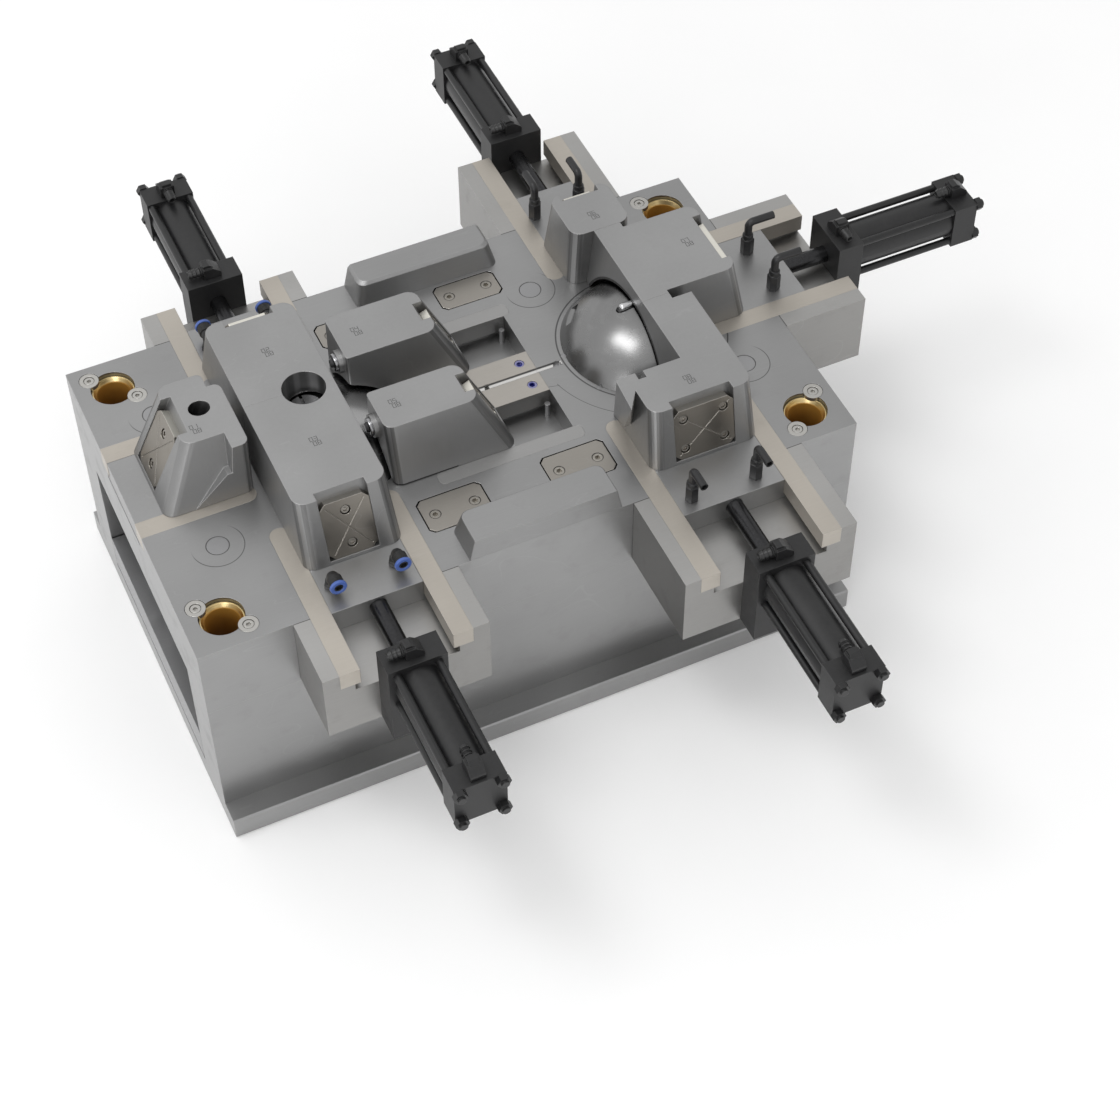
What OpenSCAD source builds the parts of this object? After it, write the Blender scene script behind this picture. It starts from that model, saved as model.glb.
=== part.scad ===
// Core half of a two cavity coolant tank mould.
// Origin: centre of the clamp plate's bottom face. X runs along the long side, +Z to the parting plane.

/* [Plates] */
// Length of all plates along X
plate_l = 700; // [680:5:720]
// Width of the core plate along Y
plate_w = 400; // [390:2:410]
// Thickness of the core plate
core_t = 88; // [84:1:96]
// Height of the spacer blocks
spacer_h = 154; // [140:2:170]
// Width of each spacer block
spacer_w = 59; // [50:1:64]
// Thickness of the clamp plate
clamp_t = 28; // [24:1:36]
// Overhang of the clamp plate past the front and the back
clamp_over = 25; // [15:1:35]
// Bevel on the long edges of the plates
plate_bevel = 1.5; // [0.5:0.5:2.5]

/* [Raised interlocks] */
// Height of the raised blocks above the parting plane
lock_h = 27; // [20:1:34]
// Sideways taper of a raised block over its height
lock_taper = 6.5; // [4:0.5:8]
// Length of the front raised block at its base
front_lock_l = 162; // [150:1:164]
// Centre of the front raised block along X
front_lock_x = 8; // [6:1:10]
// Length of the back raised block at its base
back_lock_l = 160; // [150:1:164]
// Centre of the back raised block along X
back_lock_x = 36; // [34:1:38]
// Depth of the front raised block at its base
front_lock_d = 46; // [40:1:46]
// Depth of the back raised block at its base
back_lock_d = 40; // [34:1:42]

/* [Slide tracks] */
// Width of a gib strip
gib_w = 20.5; // [19:0.5:22]
// Thickness of a gib strip
gib_t = 20; // [18:0.5:22]
// Depth of the track floor under the parting plane
track_d = 28; // [26:0.5:30]
// Reach of the slide shoe's wing under a gib
wing = 6; // [4:0.5:8]
// Running clearance of the slides in their tracks
run_gap = 0.1; // [0.05:0.05:0.2]
// Gap between a slide's body and the parting plane
lift = 0.2; // [0.1:0.05:0.3]
// Height of the track brackets outside the core plate
bracket_h = 85; // [75:1:88]
// Wall of a bracket outside its gib
bracket_wall = 17; // [14:0.5:20]
// Half width of the front left and back left tracks
left_half = 67.5; // [66:0.5:69]
// Half width of the front right track
front_right_half = 76; // [75:0.5:77]
// Half width of the back right track
back_right_half = 53.5; // [52:0.5:55]
// Half width of the right track
right_half = 71.5; // [70.5:0.5:72.5]
// Half width of the left track, which has no bracket
wedge_half = 63.8; // [62:0.5:65]

/* [Track positions] */
// Centre of the left pair of tracks along X
left_x = -170; // [-172:1:-168]
// Centre of the front right track along X
front_right_x = 194; // [193:0.5:195]
// Centre of the back right track along X
back_right_x = 208; // [207:0.5:209]
// Centre of the right track along Y
right_y = 38.5; // [38:0.5:39]
// Centre of the left track along Y
wedge_y = 24; // [22:1:26]
// Outer end of the front left bracket, from the mould's centre
front_left_end = 275; // [272:1:280]
// Outer end of the front right bracket
front_right_end = 314; // [310:1:320]
// Outer end of the back left bracket
back_left_end = 244; // [242:1:250]
// Outer end of the back right bracket
back_right_end = 318; // [314:1:324]
// Outer end of the right bracket
right_end = 444; // [440:1:450]

/* [Slides] */
// Height of the slides above the parting plane
slide_h = 70; // [64:1:76]
// Overhang of a slide's body over each gib
overhang = 3.5; // [2:0.5:5]
// Draft of a slide's sides over its height
side_draft = 3.5; // [2:0.5:5]
// Radius of a slide's outer corners
slide_r = 13; // [8:1:16]
// Corner line of the seam between the two left slides, along Y
seam_y = 16.6; // [14:0.2:19]
// Gap between two slides that meet
seam_gap = 0.1; // [0.1:0.1:0.4]
// Top of the wedge face of the front left slide
front_left_face = 124.5; // [122:0.5:127]
// Top of the wedge face of the back left slide
back_left_face = 136; // [134:0.5:138]
// Lean of the two left slides' wedge faces
left_lean = 24; // [20:1:26]
// Top of the wedge face of the two slides beside the right cavity
side_face = 160.5; // [158:0.5:163]
// Lean of the wedge faces of the three right slides
right_lean = 14; // [10:1:16]
// Top of the wedge face of the right slide
right_face = 308.5; // [306:0.5:311]
// Outer end of the front left slide's shoe
front_left_shoe = 203; // [200:1:206]
// Outer end of the front right slide's shoe
front_right_shoe = 235.5; // [232:0.5:239]
// Outer end of the back left slide's shoe
back_left_shoe = 206; // [203:1:209]
// Outer end of the back right slide's shoe
back_right_shoe = 245; // [242:1:248]
// Outer end of the right slide's shoe
right_shoe = 393; // [390:1:396]

/* [Wear plates] */
// Thickness of the wear plates
wear_t = 8; // [6:0.5:9]
// Depth of a wear plate's face under the slide's face
wear_sink = 1; // [0.5:0.5:2]
// Distance from the slide's top to the wear plate's top
wear_drop = 8; // [5:1:11]
// Chamfer on a wear plate's corners
wear_chamfer = 6; // [3:0.5:8]
// Width of the wear plates on the two left slides and the wedge slide
wear_w = 51; // [44:1:54]
// Width of the wear plate on the front right slide
wide_wear_w = 66; // [60:1:72]
// Width of the wear plate on the back right slide
back_wear_w = 42; // [36:1:46]
// Width of the wear plate on the right slide
right_wear_w = 68; // [60:1:74]
// Width of the wear plates on the inner slides
inner_wear_w = 25; // [20:1:28]

/* [Cores] */
// Centre of the right core along X
right_core_x = 208; // [207:0.5:209]
// Centre of the right core along Y
right_core_y = 1.5; // [0.5:0.5:2.5]
// Centre of the left core along X
left_core_x = -140; // [-142:1:-138]
// Centre of the left core along Y
left_core_y = 5; // [3:1:7]
// Radius of the dome's sphere
dome_r = 96; // [94:1:98]
// Height of the right dome above the parting plane
dome_h = 50; // [48:0.5:51]
// Height of the left dome above the parting plane
left_dome_h = 41; // [39:0.5:42]
// Flat side of the right core, along X
right_core_end = 225; // [223:0.5:226]
// Flat side of the left core, along X
left_core_end = -208; // [-210:0.5:-204]
// Depth of a core's foot in the core plate
core_foot = 60; // [50:1:70]
// Wall of the moulded tank, the gap between core and slides
tank_wall = 4.5; // [2.5:0.5:5]
// Radius of the filler neck's hole
neck_r = 22; // [20:0.5:24]
// Centre of the filler neck's hole along X
neck_x = -154; // [-158:1:-150]
// Gap between the neck core and the neck's hole
neck_wall = 4; // [3:0.5:5]
// Height of the neck core above the left dome's top
neck_core_h = 0.5; // [0:0.5:2]

/* [Centre] */
// Width of the runner plate
runner_w = 59; // [56:1:62]
// Centre line of the runner along Y
runner_y = 2; // [1:0.5:3]
// Right end of the runner plate and of the inner pockets
pocket_end = 90; // [88:1:92]
// Left end of the outer strips beside the inner tracks
inner_start = -60; // [-62:1:-58]
// Left end of the runner plate and of the inner slides' keels
keel_start = -49; // [-50:1:-44]
// Half width of an inner slide's keel
keel_half = 28; // [26:0.5:29]
// Width of the outer strips beside the inner tracks
strip_w = 16.5; // [14:0.5:17]
// Width of the runner groove
groove_w = 6.4; // [5:0.2:7]
// End of the runner groove beside the right cavity
groove_end = 112; // [111:0.5:113]
// Length of a parting pad
pad_l = 67; // [64:1:70]
// Depth of a front parting pad
front_pad_d = 42; // [40:1:44]
// Depth of a back parting pad
back_pad_d = 34; // [32:1:36]
// Thickness of the parting pads
pad_t = 10; // [8:1:12]
// Gap around a parting pad in its pocket
pad_gap = 1.2; // [0.6:0.1:1.6]
// Chamfer on a parting pad's corners
pad_chamfer = 5; // [3:0.5:7]
// Pitch of the two screws in a parting pad
pad_pitch = 42; // [38:1:46]

/* [Guides and ejection] */
// Centre of the guide bushes along X
bush_x = 312; // [310:1:314]
// Centre of the guide bushes along Y
bush_y = 162; // [160:1:164]
// Radius of a guide bush's bore
bush_bore_r = 17.5; // [16:0.5:18.5]
// Outer radius of a guide bush
bush_r = 21; // [20:0.5:22]
// Radius of a guide bush's collar
bush_collar_r = 22.5; // [22.5:0.5:25]
// Depth of a guide bush's top under the parting plane
bush_sink = 5; // [4:0.5:7]
// Length of a guide bush
bush_l = 80; // [60:2:82]
// Radius of a retaining washer beside a guide bush
washer_r = 10; // [9:0.5:11]
// Radius of the return pins
return_r = 11; // [9:0.5:12]
// Radius of the rim ejector pins
rim_r = 3; // [2:0.5:4]
// Thickness of the lower ejector plate
eject_t = 22; // [18:1:24]
// Thickness of the pin retainer plate
retain_t = 19; // [16:1:22]
// Height of the stop buttons under the ejector plates
stop_h = 4; // [3:0.5:6]
// Gap between the ejector plates and the spacer blocks
eject_gap = 1; // [0.5:0.5:2]
// Radius of the support pillars
pillar_r = 20; // [16:1:24]
// Running clearance of the pins in their holes
pin_gap = 0.05; // [0.03:0.01:0.1]
// Radius of the hole for the machine's ejector rod
knockout_r = 25; // [20:1:30]

/* [Hydraulic cylinders] */
// Depth of the cylinder's axis under the parting plane
axis_d = 12; // [11:0.5:13]
// Width of the cylinder head
head_w = 60; // [56:1:66]
// Thickness of the cylinder head along the axis
head_t = 29; // [25:1:33]
// Height of the cylinder head above its axis
head_up = 29.5; // [27:0.5:31]
// Length of the barrel between head and cap
barrel_l = 115.5; // [110:0.5:120]
// Outer radius of the barrel
barrel_r = 24; // [23:0.5:25]
// Bore radius of the barrel
bore_r = 20; // [19:0.5:21]
// Width and height of the end cap
cap_w = 52; // [50:1:54]
// Thickness of the end cap
cap_t = 27; // [22:1:30]
// Radius of the piston rod
rod_r = 9; // [8:0.5:10]
// Length of the piston
piston_l = 20; // [16:1:24]
// Distance of each tie rod from the axis, sideways and up
tie_off = 21; // [20.5:0.5:22]
// Radius of the tie rods
tie_r = 4; // [3:0.5:4.5]

/* [Hidden] */
$fn = 48;

// Height of the parting plane
part_z = clamp_t + spacer_h + core_t;
// Small overlap that lets a cut break through a face
eps = 1;
// Clearance of a plate in its pocket
seat = 0.05;

// Places of the tracks: x, y, turn about Z, half width, start, bracket end
fl = [left_x, 0, 180, left_half, 83, front_left_end];
fr = [front_right_x, 0, 180, front_right_half, 93.5, front_right_end];
bl = [left_x, 0, 0, left_half, 131, back_left_end];
br = [back_right_x, 0, 0, back_right_half, 113, back_right_end];
rt = [0, right_y, -90, right_half, 258, right_end];
wg = [0, wedge_y, 90, wedge_half, 228, plate_l / 2];
cyl_tracks = [fl, fr, rt, bl, br];

function half(t) = t[3];
function inner_half(t) = t[3] - gib_w;
function track_in(t) = t[4];
function track_out(t) = t[5];
function shoe_in(t) = t[4] + gib_w / 2 + 1.5;

// Radius of both cores' feet, and the spheres of the two domes, centred below the parting plane
core_r = sqrt(dome_r * dome_r - pow(dome_h - dome_r, 2));
left_dome_r = (core_r * core_r + left_dome_h * left_dome_h) / (2 * left_dome_h);
// Each core: x, y, sphere, dome height, side of the cut (1 right, -1 left), place of the cut
right_one = [right_core_x, right_core_y, dome_r, dome_h, 1, right_core_end];
left_one = [left_core_x, left_core_y, left_dome_r, left_dome_h, -1, left_core_end];
pin_z = dome_h - 1;
pin_r = 4.4;
pin_start = 182;
pin_root = right_core_end + tank_wall;
neck_foot = 20;

// Inner slides and the runner plate between them
inner_back_y = runner_y + runner_w / 2 + keel_half;
inner_front_y = runner_y - runner_w / 2 - keel_half;
ib = [0, inner_back_y, -90];
if_ = [0, inner_front_y, -90];

return_pins = [[-286, -79], [286, -79], [131, 111], [-286, 110]];
pillars = [[-230, -85], [-230, 85], [230, -85], [230, 85], [20, -95], [20, 95]];
rim_angles_right = [106, 116, 175, 214];
rim_angles_left = [-8, 8];
rim_off = core_r + 1.5;

module at_parting() translate([0, 0, part_z]) children();
module on_track(t) translate([t[0], t[1], part_z]) rotate(t[2]) children();

// Box between two corners
module box(a, b) translate(a) cube(b - a);

// Block whose top and base rectangles differ, given as [x0, x1, y0, y1], with outer corners rounded
module tapered(top, base, z0, z1, r_out, r_in) {
    hull() {
        for (x = [0, 1], y = [0, 1]) {
            r = y == 1 ? r_out : is_list(r_in) ? r_in[x] : r_in;
            sx = x == 0 ? 1 : -1;
            sy = y == 0 ? 1 : -1;
            translate([base[x] + sx * r, base[2 + y] + sy * r, z0]) cylinder(r = r, h = 0.01, $fn = 32);
            translate([top[x] + sx * r, top[2 + y] + sy * r, z1 - 0.01]) cylinder(r = r, h = 0.01, $fn = 32);
        }
    }
}

// Block between two rectangles with sharp corners
module wedge_block(top, base, z0, z1) {
    hull() {
        translate([base[0], base[2], z0]) cube([base[1] - base[0], base[3] - base[2], 0.01]);
        translate([top[0], top[2], z1 - 0.01]) cube([top[1] - top[0], top[3] - top[2], 0.01]);
    }
}

// Outline of one gib strip, with a full round inner end
module gib_outline(t, side, grow) {
    r = gib_w / 2;
    x = side * (half(t) - r);
    translate([x - r, track_in(t) + r]) square([gib_w, track_out(t) - track_in(t) - r + grow]);
    translate([x, track_in(t) + r]) circle(r = r);
}

// Cut of a whole track: gib pockets, shoe slot and the wider slot for the wings
module track_cut(t) {
    in_h = inner_half(t);
    y0 = track_in(t) + gib_w / 2;
    len = track_out(t) - y0 + eps;
    translate([0, 0, -gib_t]) linear_extrude(gib_t + eps) {
        gib_outline(t, 1, eps);
        gib_outline(t, -1, eps);
        translate([-in_h - eps, y0]) square([2 * (in_h + eps), len]);
    }
    translate([-in_h - wing, y0, -track_d]) cube([2 * (in_h + wing), len, track_d - gib_t + eps / 2]);
}

module bracket(t, edge) {
    w = half(t) + bracket_wall;
    color([0.63, 0.62, 0.6]) on_track(t) difference() {
        box([-w, edge, -bracket_h], [w, track_out(t), 0]);
        track_cut(t);
    }
}

// T shaped shoe under a slide
module shoe(t, y0, y1) {
    in_h = inner_half(t) - run_gap;
    box([-in_h, y0, -track_d + run_gap], [in_h, y1, -lift]);
    box([-in_h - wing, y0, -track_d + run_gap], [in_h + wing, y1, -gib_t - run_gap]);
}

// Neck that joins a shoe to the body above it
module neck(t, y0, y1) {
    in_h = inner_half(t) - 4;
    box([-in_h, y0, -2 * eps], [in_h, y1, 2 * eps]);
}

// Frame on a leaning wedge face: x sideways, z up the face, y outward
module on_face(x, base_y, lean) {
    translate([x, base_y, 0]) rotate([atan(lean / slide_h), 0, 0]) children();
}

function face_len(lean) = norm([lean, slide_h]);

// Recess in a wedge face for its wear plate
module wear_recess(w, lean) {
    d = wear_t + wear_sink;
    translate([-w / 2, -d, 4]) cube([w, d + 20, face_len(lean) + 20]);
}

module wear_outline(w, h, c) {
    polygon([[-w / 2 + c, 0], [w / 2 - c, 0], [w / 2, c], [w / 2, h - c], [w / 2 - c, h],
        [-w / 2 + c, h], [-w / 2, h - c], [-w / 2, c]]);
}

// Wear plate with crossed oil grooves and screw counterbores
module wear_plate(w, lean, screws) {
    gap = 0.2;
    h = face_len(lean) - wear_drop - 4 - gap;
    pw = w - 2 * gap;
    cross = atan((h - 16) / (pw - 16));
    reach = norm([h - 10, pw - 10]);
    color([0.66, 0.63, 0.58]) translate([0, -wear_sink, 4 + gap]) difference() {
        rotate([90, 0, 0]) linear_extrude(wear_t) wear_outline(pw, h, min(wear_chamfer, pw / 5));
        for (a = [-cross, cross]) {
            translate([0, 0, h / 2]) rotate([0, a, 0]) cube([reach, 1.4, 1.2], center = true);
        }
        for (p = screws) {
            translate([p[0] * pw, eps, h / 2 + p[1] * h]) rotate([90, 0, 0]) cylinder(r = 5.2, h = 5 + eps);
        }
    }
}

two_screws = [[0, 0.3], [0, -0.3]];
four_screws = [[0.33, 0.3], [-0.33, 0.3], [0.33, -0.3], [-0.33, -0.3]];

// Everything on the core's side of its flat cut, seen from the parting plane
module cut_side(c, grow) {
    x = c[5] + c[4] * grow;
    box([min(x, x - c[4] * 300), c[1] - 150, -150], [max(x, x - c[4] * 300), c[1] + 150, 150]);
}

// Space of the moulded tank, cut from the slides around a core
module cavity(c) {
    at_parting() intersection() {
        translate([c[0], c[1], c[3] - c[2]]) sphere(r = c[2] + tank_wall, $fn = 96);
        cut_side(c, tank_wall);
    }
}

// Upright part of a core, also its pocket in the core plate
module core_foot_shape(c, z0, z1, grow) {
    intersection() {
        translate([c[0], c[1], z0]) cylinder(r = core_r + grow, h = z1 - z0, $fn = 96);
        cut_side(c, grow);
    }
}

// Bore for the piston rod in a shoe
module rod_socket(y1) {
    translate([0, y1 - 22, -axis_d]) rotate([-90, 0, 0]) cylinder(r = rod_r, h = 22 + eps);
}

// Places of the rim ejector pins around a core
module rim_places() {
    for (a = rim_angles_right) {
        translate([right_core_x + rim_off * cos(a), right_core_y + rim_off * sin(a), 0]) children();
    }
    for (a = rim_angles_left) {
        translate([left_core_x + rim_off * cos(a), left_core_y + rim_off * sin(a), 0]) children();
    }
}

module rim_holes() {
    rim_places() translate([0, 0, -core_t - eps]) cylinder(r = rim_r + pin_gap, h = core_t + 8);
}

module clamp_plate() {
    w = plate_w / 2 + clamp_over;
    color([0.62, 0.62, 0.63]) difference() {
        rotate([90, 0, 90]) translate([0, 0, -plate_l / 2]) linear_extrude(plate_l)
            polygon([[-w + plate_bevel, 0], [w - plate_bevel, 0], [w, plate_bevel],
                [w, clamp_t - plate_bevel], [w - plate_bevel, clamp_t], [-w + plate_bevel, clamp_t],
                [-w, clamp_t - plate_bevel], [-w, plate_bevel]]);
        translate([0, 0, -eps]) cylinder(r = knockout_r, h = clamp_t + 2 * eps);
    }
}

module spacer_blocks() {
    color([0.64, 0.64, 0.65]) for (side = [-1, 1]) {
        translate([-plate_l / 2, side * (plate_w - spacer_w) / 2 - spacer_w / 2, clamp_t])
            cube([plate_l, spacer_w, spacer_h]);
    }
}

module support_pillars() {
    color([0.7, 0.7, 0.71]) for (p = pillars) {
        translate([p[0], p[1], clamp_t]) cylinder(r = pillar_r, h = spacer_h);
    }
}

module stop_buttons() {
    color([0.7, 0.7, 0.71]) for (x = [-1, 1], y = [-1, 1]) {
        translate([x * plate_l * 0.4, y * 60, clamp_t]) cylinder(r = 12, h = stop_h);
    }
}

// Raised block with a tapered outline, flush with one long side of the plate
module raised_lock(x, len, d, side, bevel) {
    y0 = side * plate_w / 2;
    y1 = y0 - side * d;
    ya = min(y0, y1);
    yb = max(y0, y1);
    ta = side > 0 ? ya + lock_taper : ya;
    tb = side > 0 ? yb : yb - lock_taper;
    b = [x - len / 2, x + len / 2, ya, yb];
    m = [b[0] + lock_taper * 0.85, b[1] - lock_taper * 0.85, ta, tb];
    c = [m[0] + bevel, m[1] - bevel, m[2] + (side > 0 ? bevel : 0), m[3] - (side > 0 ? 0 : bevel)];
    hull() {
        for (l = [[b, 0], [m, lock_h - bevel], [c, lock_h - 0.01]]) {
            for (i = [0, 1], j = [0, 1]) {
                inner = side > 0 ? j == 0 : j == 1;
                r = inner ? 9 : 0.5;
                translate([l[0][i] + (i == 0 ? r : -r), l[0][2 + j] + (j == 0 ? r : -r), l[1]])
                    cylinder(r = r, h = 0.01, $fn = 32);
            }
        }
    }
}

// Pocket of an inner slide: keel slot, wing slot and the seat of the outer strip
module inner_cut(y, side) {
    k = keel_half;
    box([keel_start - 3, y - k, -track_d], [pocket_end, y + k, eps]);
    box([keel_start - 3, y - k - wing, -track_d], [pocket_end, y + k + wing, -gib_t]);
}

// Outer strip beside an inner track, with rounded corners
module strip_outline(side, grow) {
    y0 = side > 0 ? inner_back_y + keel_half : inner_front_y - keel_half - strip_w;
    x0 = inner_start;
    x1 = pocket_end + 8;
    r = 6;
    translate([x0 + r - grow, y0 - grow]) square([x1 - x0 - 2 * r + 2 * grow, strip_w + 2 * grow]);
    translate([x0 - grow, y0 + r - grow]) square([x1 - x0 + 2 * grow, strip_w - 2 * r + 2 * grow]);
    for (x = [x0 + r, x1 - r], y = [y0 + r, y0 + strip_w - r]) translate([x, y]) circle(r = r + grow);
}

pad_places = [[71, 138, back_pad_d], [-63, 138, back_pad_d],
    [74, -131, front_pad_d], [-59, -131, front_pad_d]];

module pad_outline(d, grow) {
    offset_c = pad_chamfer;
    w = pad_l / 2 + grow;
    h = d / 2 + grow;
    polygon([[-w + offset_c, -h], [w - offset_c, -h], [w, -h + offset_c], [w, h - offset_c],
        [w - offset_c, h], [-w + offset_c, h], [-w, h - offset_c], [-w, -h + offset_c]]);
}

washer_places = [[-1, 1, -19, 20], [-1, 1, 19, -18.5], [-1, -1, -19, 19], [-1, -1, 20, -19],
    [1, 1, -18.5, 20], [1, 1, 19, -19], [1, -1, 19.5, 20], [1, -1, -18.5, -18.5]];

module washer_spots() {
    for (p = washer_places) {
        ring = bush_collar_r + washer_r - 5;
        d = norm([p[2], p[3]]);
        translate([p[0] * bush_x + p[2] / d * ring, p[1] * bush_y + p[3] / d * ring, 0]) children();
    }
}

module core_plate() {
    color([0.61, 0.61, 0.62]) at_parting() difference() {
        box([-plate_l / 2, -plate_w / 2, -core_t], [plate_l / 2, plate_w / 2, 0]);
        for (t = [fl, fr, bl, br, rt, wg]) {
            translate([t[0], t[1], 0]) rotate(t[2]) track_cut(t);
        }
        core_foot_shape(left_one, -core_foot, eps, seat);
        core_foot_shape(right_one, -core_foot, eps, seat);
        inner_cut(inner_back_y, 1);
        inner_cut(inner_front_y, -1);
        box([keel_start, runner_y - runner_w / 2 - eps, -gib_t],
            [pocket_end, runner_y + runner_w / 2 + eps, eps]);
        for (s = [-1, 1]) {
            translate([0, 0, -gib_t]) linear_extrude(gib_t + eps) strip_outline(s, seat);
        }
        for (p = pad_places) {
            translate([p[0], p[1], -pad_t]) linear_extrude(pad_t + eps) pad_outline(p[2], pad_gap);
        }
        for (x = [-1, 1], y = [-1, 1]) {
            translate([x * bush_x, y * bush_y, -core_t - eps]) {
                cylinder(r = bush_r + seat, h = core_t + 2 * eps);
                translate([0, 0, core_t + eps - bush_sink - 8])
                    cylinder(r = bush_collar_r + seat, h = 8 + bush_sink + eps);
            }
        }
        washer_spots() translate([0, 0, -bush_sink]) cylinder(r = washer_r + 0.3, h = bush_sink + eps);
        for (p = return_pins) {
            translate([p[0], p[1], -core_t - eps]) cylinder(r = return_r + pin_gap, h = core_t + 2 * eps);
        }
        rim_holes();
        translate([groove_end, runner_y, -core_t - eps]) cylinder(r = 4 + pin_gap, h = core_t + 2 * eps);
        translate([pocket_end - eps, runner_y, 0]) rotate([0, 90, 0])
            cylinder(r = groove_w / 2, h = groove_end - pocket_end + eps);
        translate([groove_end, runner_y, 0]) sphere(r = groove_w / 2);
    }
}

module raised_interlocks() {
    color([0.61, 0.61, 0.62]) at_parting() {
        raised_lock(front_lock_x, front_lock_l, front_lock_d, -1, 0.6);
        raised_lock(back_lock_x, back_lock_l, back_lock_d, 1, 3);
    }
}

// Foot and dome of one core
module core_body(c) {
    at_parting() {
        core_foot_shape(c, -core_foot, 0, 0);
        intersection() {
            translate([c[0], c[1], c[3] - c[2]]) sphere(r = c[2], $fn = 96);
            core_foot_shape(c, -eps, c[3] + eps, -0.01);
        }
    }
}

module left_core() {
    color([0.72, 0.72, 0.73]) difference() {
        core_body(left_one);
        at_parting() rim_holes();
        at_parting() translate([neck_x, seam_y, neck_foot])
            cylinder(r = neck_r - neck_wall + seat, h = dome_h);
    }
}

module right_core() {
    y = right_core_y + 1.5;
    color([0.72, 0.72, 0.73]) difference() {
        core_body(right_one);
        at_parting() rim_holes();
        at_parting() translate([pin_start + 1, y, pin_z]) {
            rotate([0, 90, 0]) cylinder(r = pin_r + 0.8, h = 120);
            sphere(r = pin_r + 0.8);
        }
        at_parting() translate([144.8, 49.8, 19.4]) rotate([0, 90, 232.6])
            cylinder(r = 10, h = 26, center = true);
    }
}

// Neck core with a stepped top edge and a keyway
module neck_core() {
    r = neck_r - neck_wall;
    h = left_dome_h + neck_core_h - neck_foot;
    color([0.66, 0.66, 0.67]) at_parting() translate([neck_x, seam_y, neck_foot]) difference() {
        union() {
            cylinder(r = r, h = h - 5);
            cylinder(r = r - 0.8, h = h);
        }
        box([-1.5, 2, h - 4], [1.5, r + eps, h + eps]);
    }
}

module runner_plate() {
    color([0.68, 0.65, 0.6]) at_parting() difference() {
        box([keel_start + seat, runner_y - runner_w / 2, -gib_t],
            [pocket_end - seat, runner_y + runner_w / 2, 0]);
        translate([keel_start - eps, runner_y, 0]) rotate([0, 90, 0])
            cylinder(r = groove_w / 2, h = pocket_end - keel_start + 2 * eps);
        translate([34, runner_y + 0.5, -8]) cylinder(r1 = 1, r2 = 4, h = 8 + eps);
        for (s = [-1, 1]) {
            translate([76.8, runner_y + s * 16.2, -6]) cylinder(r = 5.2, h = 6 + eps);
            translate([76.8, runner_y + s * 16.2, -gib_t - eps]) cylinder(r = 3.05, h = gib_t + 2 * eps);
        }
    }
}

module guide_bushes() {
    color([0.72, 0.55, 0.25]) at_parting() for (x = [-1, 1], y = [-1, 1]) {
        translate([x * bush_x, y * bush_y, -bush_sink]) rotate_extrude()
            polygon([[bush_bore_r, -bush_l], [bush_r - 1, -bush_l], [bush_r, -bush_l + 1], [bush_r, -8],
                [bush_collar_r, -8], [bush_collar_r, -1], [bush_collar_r - 1, 0],
                [bush_bore_r + 3, 0], [bush_bore_r, -5]]);
    }
}

module bush_retainers() {
    color([0.75, 0.74, 0.72]) at_parting() washer_spots() translate([0, 0, -bush_sink]) difference() {
        cylinder(r = washer_r, h = bush_sink - 0.2);
        translate([0, 0, bush_sink - 1.6]) cylinder(r = 4.2, h = 3);
        translate([0, 0, 1]) cylinder(r = 2.2, h = 8, $fn = 6);
    }
}

module parting_pads() {
    color([0.69, 0.66, 0.61]) at_parting() for (p = pad_places) {
        translate([p[0], p[1], -pad_t]) difference() {
            linear_extrude(pad_t - 0.1) pad_outline(p[2], 0);
            for (s = [-1, 1]) translate([s * pad_pitch / 2, 0, -eps]) {
                cylinder(r = 3.05, h = pad_t + 2 * eps);
                translate([0, 0, pad_t - 6 + eps]) cylinder(r = 5.5, h = 6 + eps);
            }
        }
    }
}

// Socket head screw seated in a counterbore
module socket_screw(head_r, below) {
    difference() {
        union() {
            translate([0, 0, -6]) cylinder(r = head_r, h = 5.5);
            translate([0, 0, -below]) cylinder(r = 3, h = below - 5);
        }
        translate([0, 0, -3.5]) cylinder(r = 2.9, h = 4, $fn = 6);
    }
}

module plate_screws() {
    color([0.6, 0.58, 0.6]) at_parting() {
        for (p = pad_places, s = [-1, 1]) {
            translate([p[0] + s * pad_pitch / 2, p[1], 0]) socket_screw(5.2, pad_t);
        }
        for (s = [-1, 1]) translate([76.8, runner_y + s * 16.2, 0]) socket_screw(4.9, gib_t);
    }
}

module pocket_pins() {
    color([0.7, 0.7, 0.7]) at_parting() for (y = [inner_back_y, inner_front_y]) {
        translate([pocket_end - 6, y + keel_half - 7.5, -track_d]) cylinder(r = 3, h = track_d - 11);
    }
}

module slide_gibs() {
    color([0.7, 0.67, 0.61]) {
        for (t = [fl, fr, bl, br, rt, wg], s = [-1, 1]) {
            on_track(t) translate([0, 0, -gib_t]) linear_extrude(gib_t) gib_outline(t, s, 0);
        }
        for (s = [-1, 1]) {
            at_parting() translate([0, 0, -gib_t]) linear_extrude(gib_t) strip_outline(s, 0);
        }
    }
}

module cylinder_head(t) {
    y = track_out(t);
    color([0.17, 0.17, 0.18]) on_track(t) difference() {
        box([-head_w / 2, y, -bracket_h], [head_w / 2, y + head_t, head_up - axis_d]);
        translate([0, y - eps, -axis_d]) rotate([-90, 0, 0])
            cylinder(r = rod_r + pin_gap, h = head_t + 2 * eps);
        for (x = [-1, 1], z = [-1, 1]) {
            translate([x * tie_off, y + head_t - 16, -axis_d + z * tie_off]) rotate([-90, 0, 0])
                cylinder(r = tie_r + seat, h = 16 + eps);
        }
    }
}

module cylinder_barrels() {
    color([0.14, 0.14, 0.15]) for (t = cyl_tracks) {
        on_track(t) translate([0, track_out(t) + head_t, -axis_d]) rotate([-90, 0, 0]) difference() {
            cylinder(r = barrel_r, h = barrel_l);
            translate([0, 0, -eps]) cylinder(r = bore_r, h = barrel_l + 2 * eps);
        }
    }
}

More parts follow.
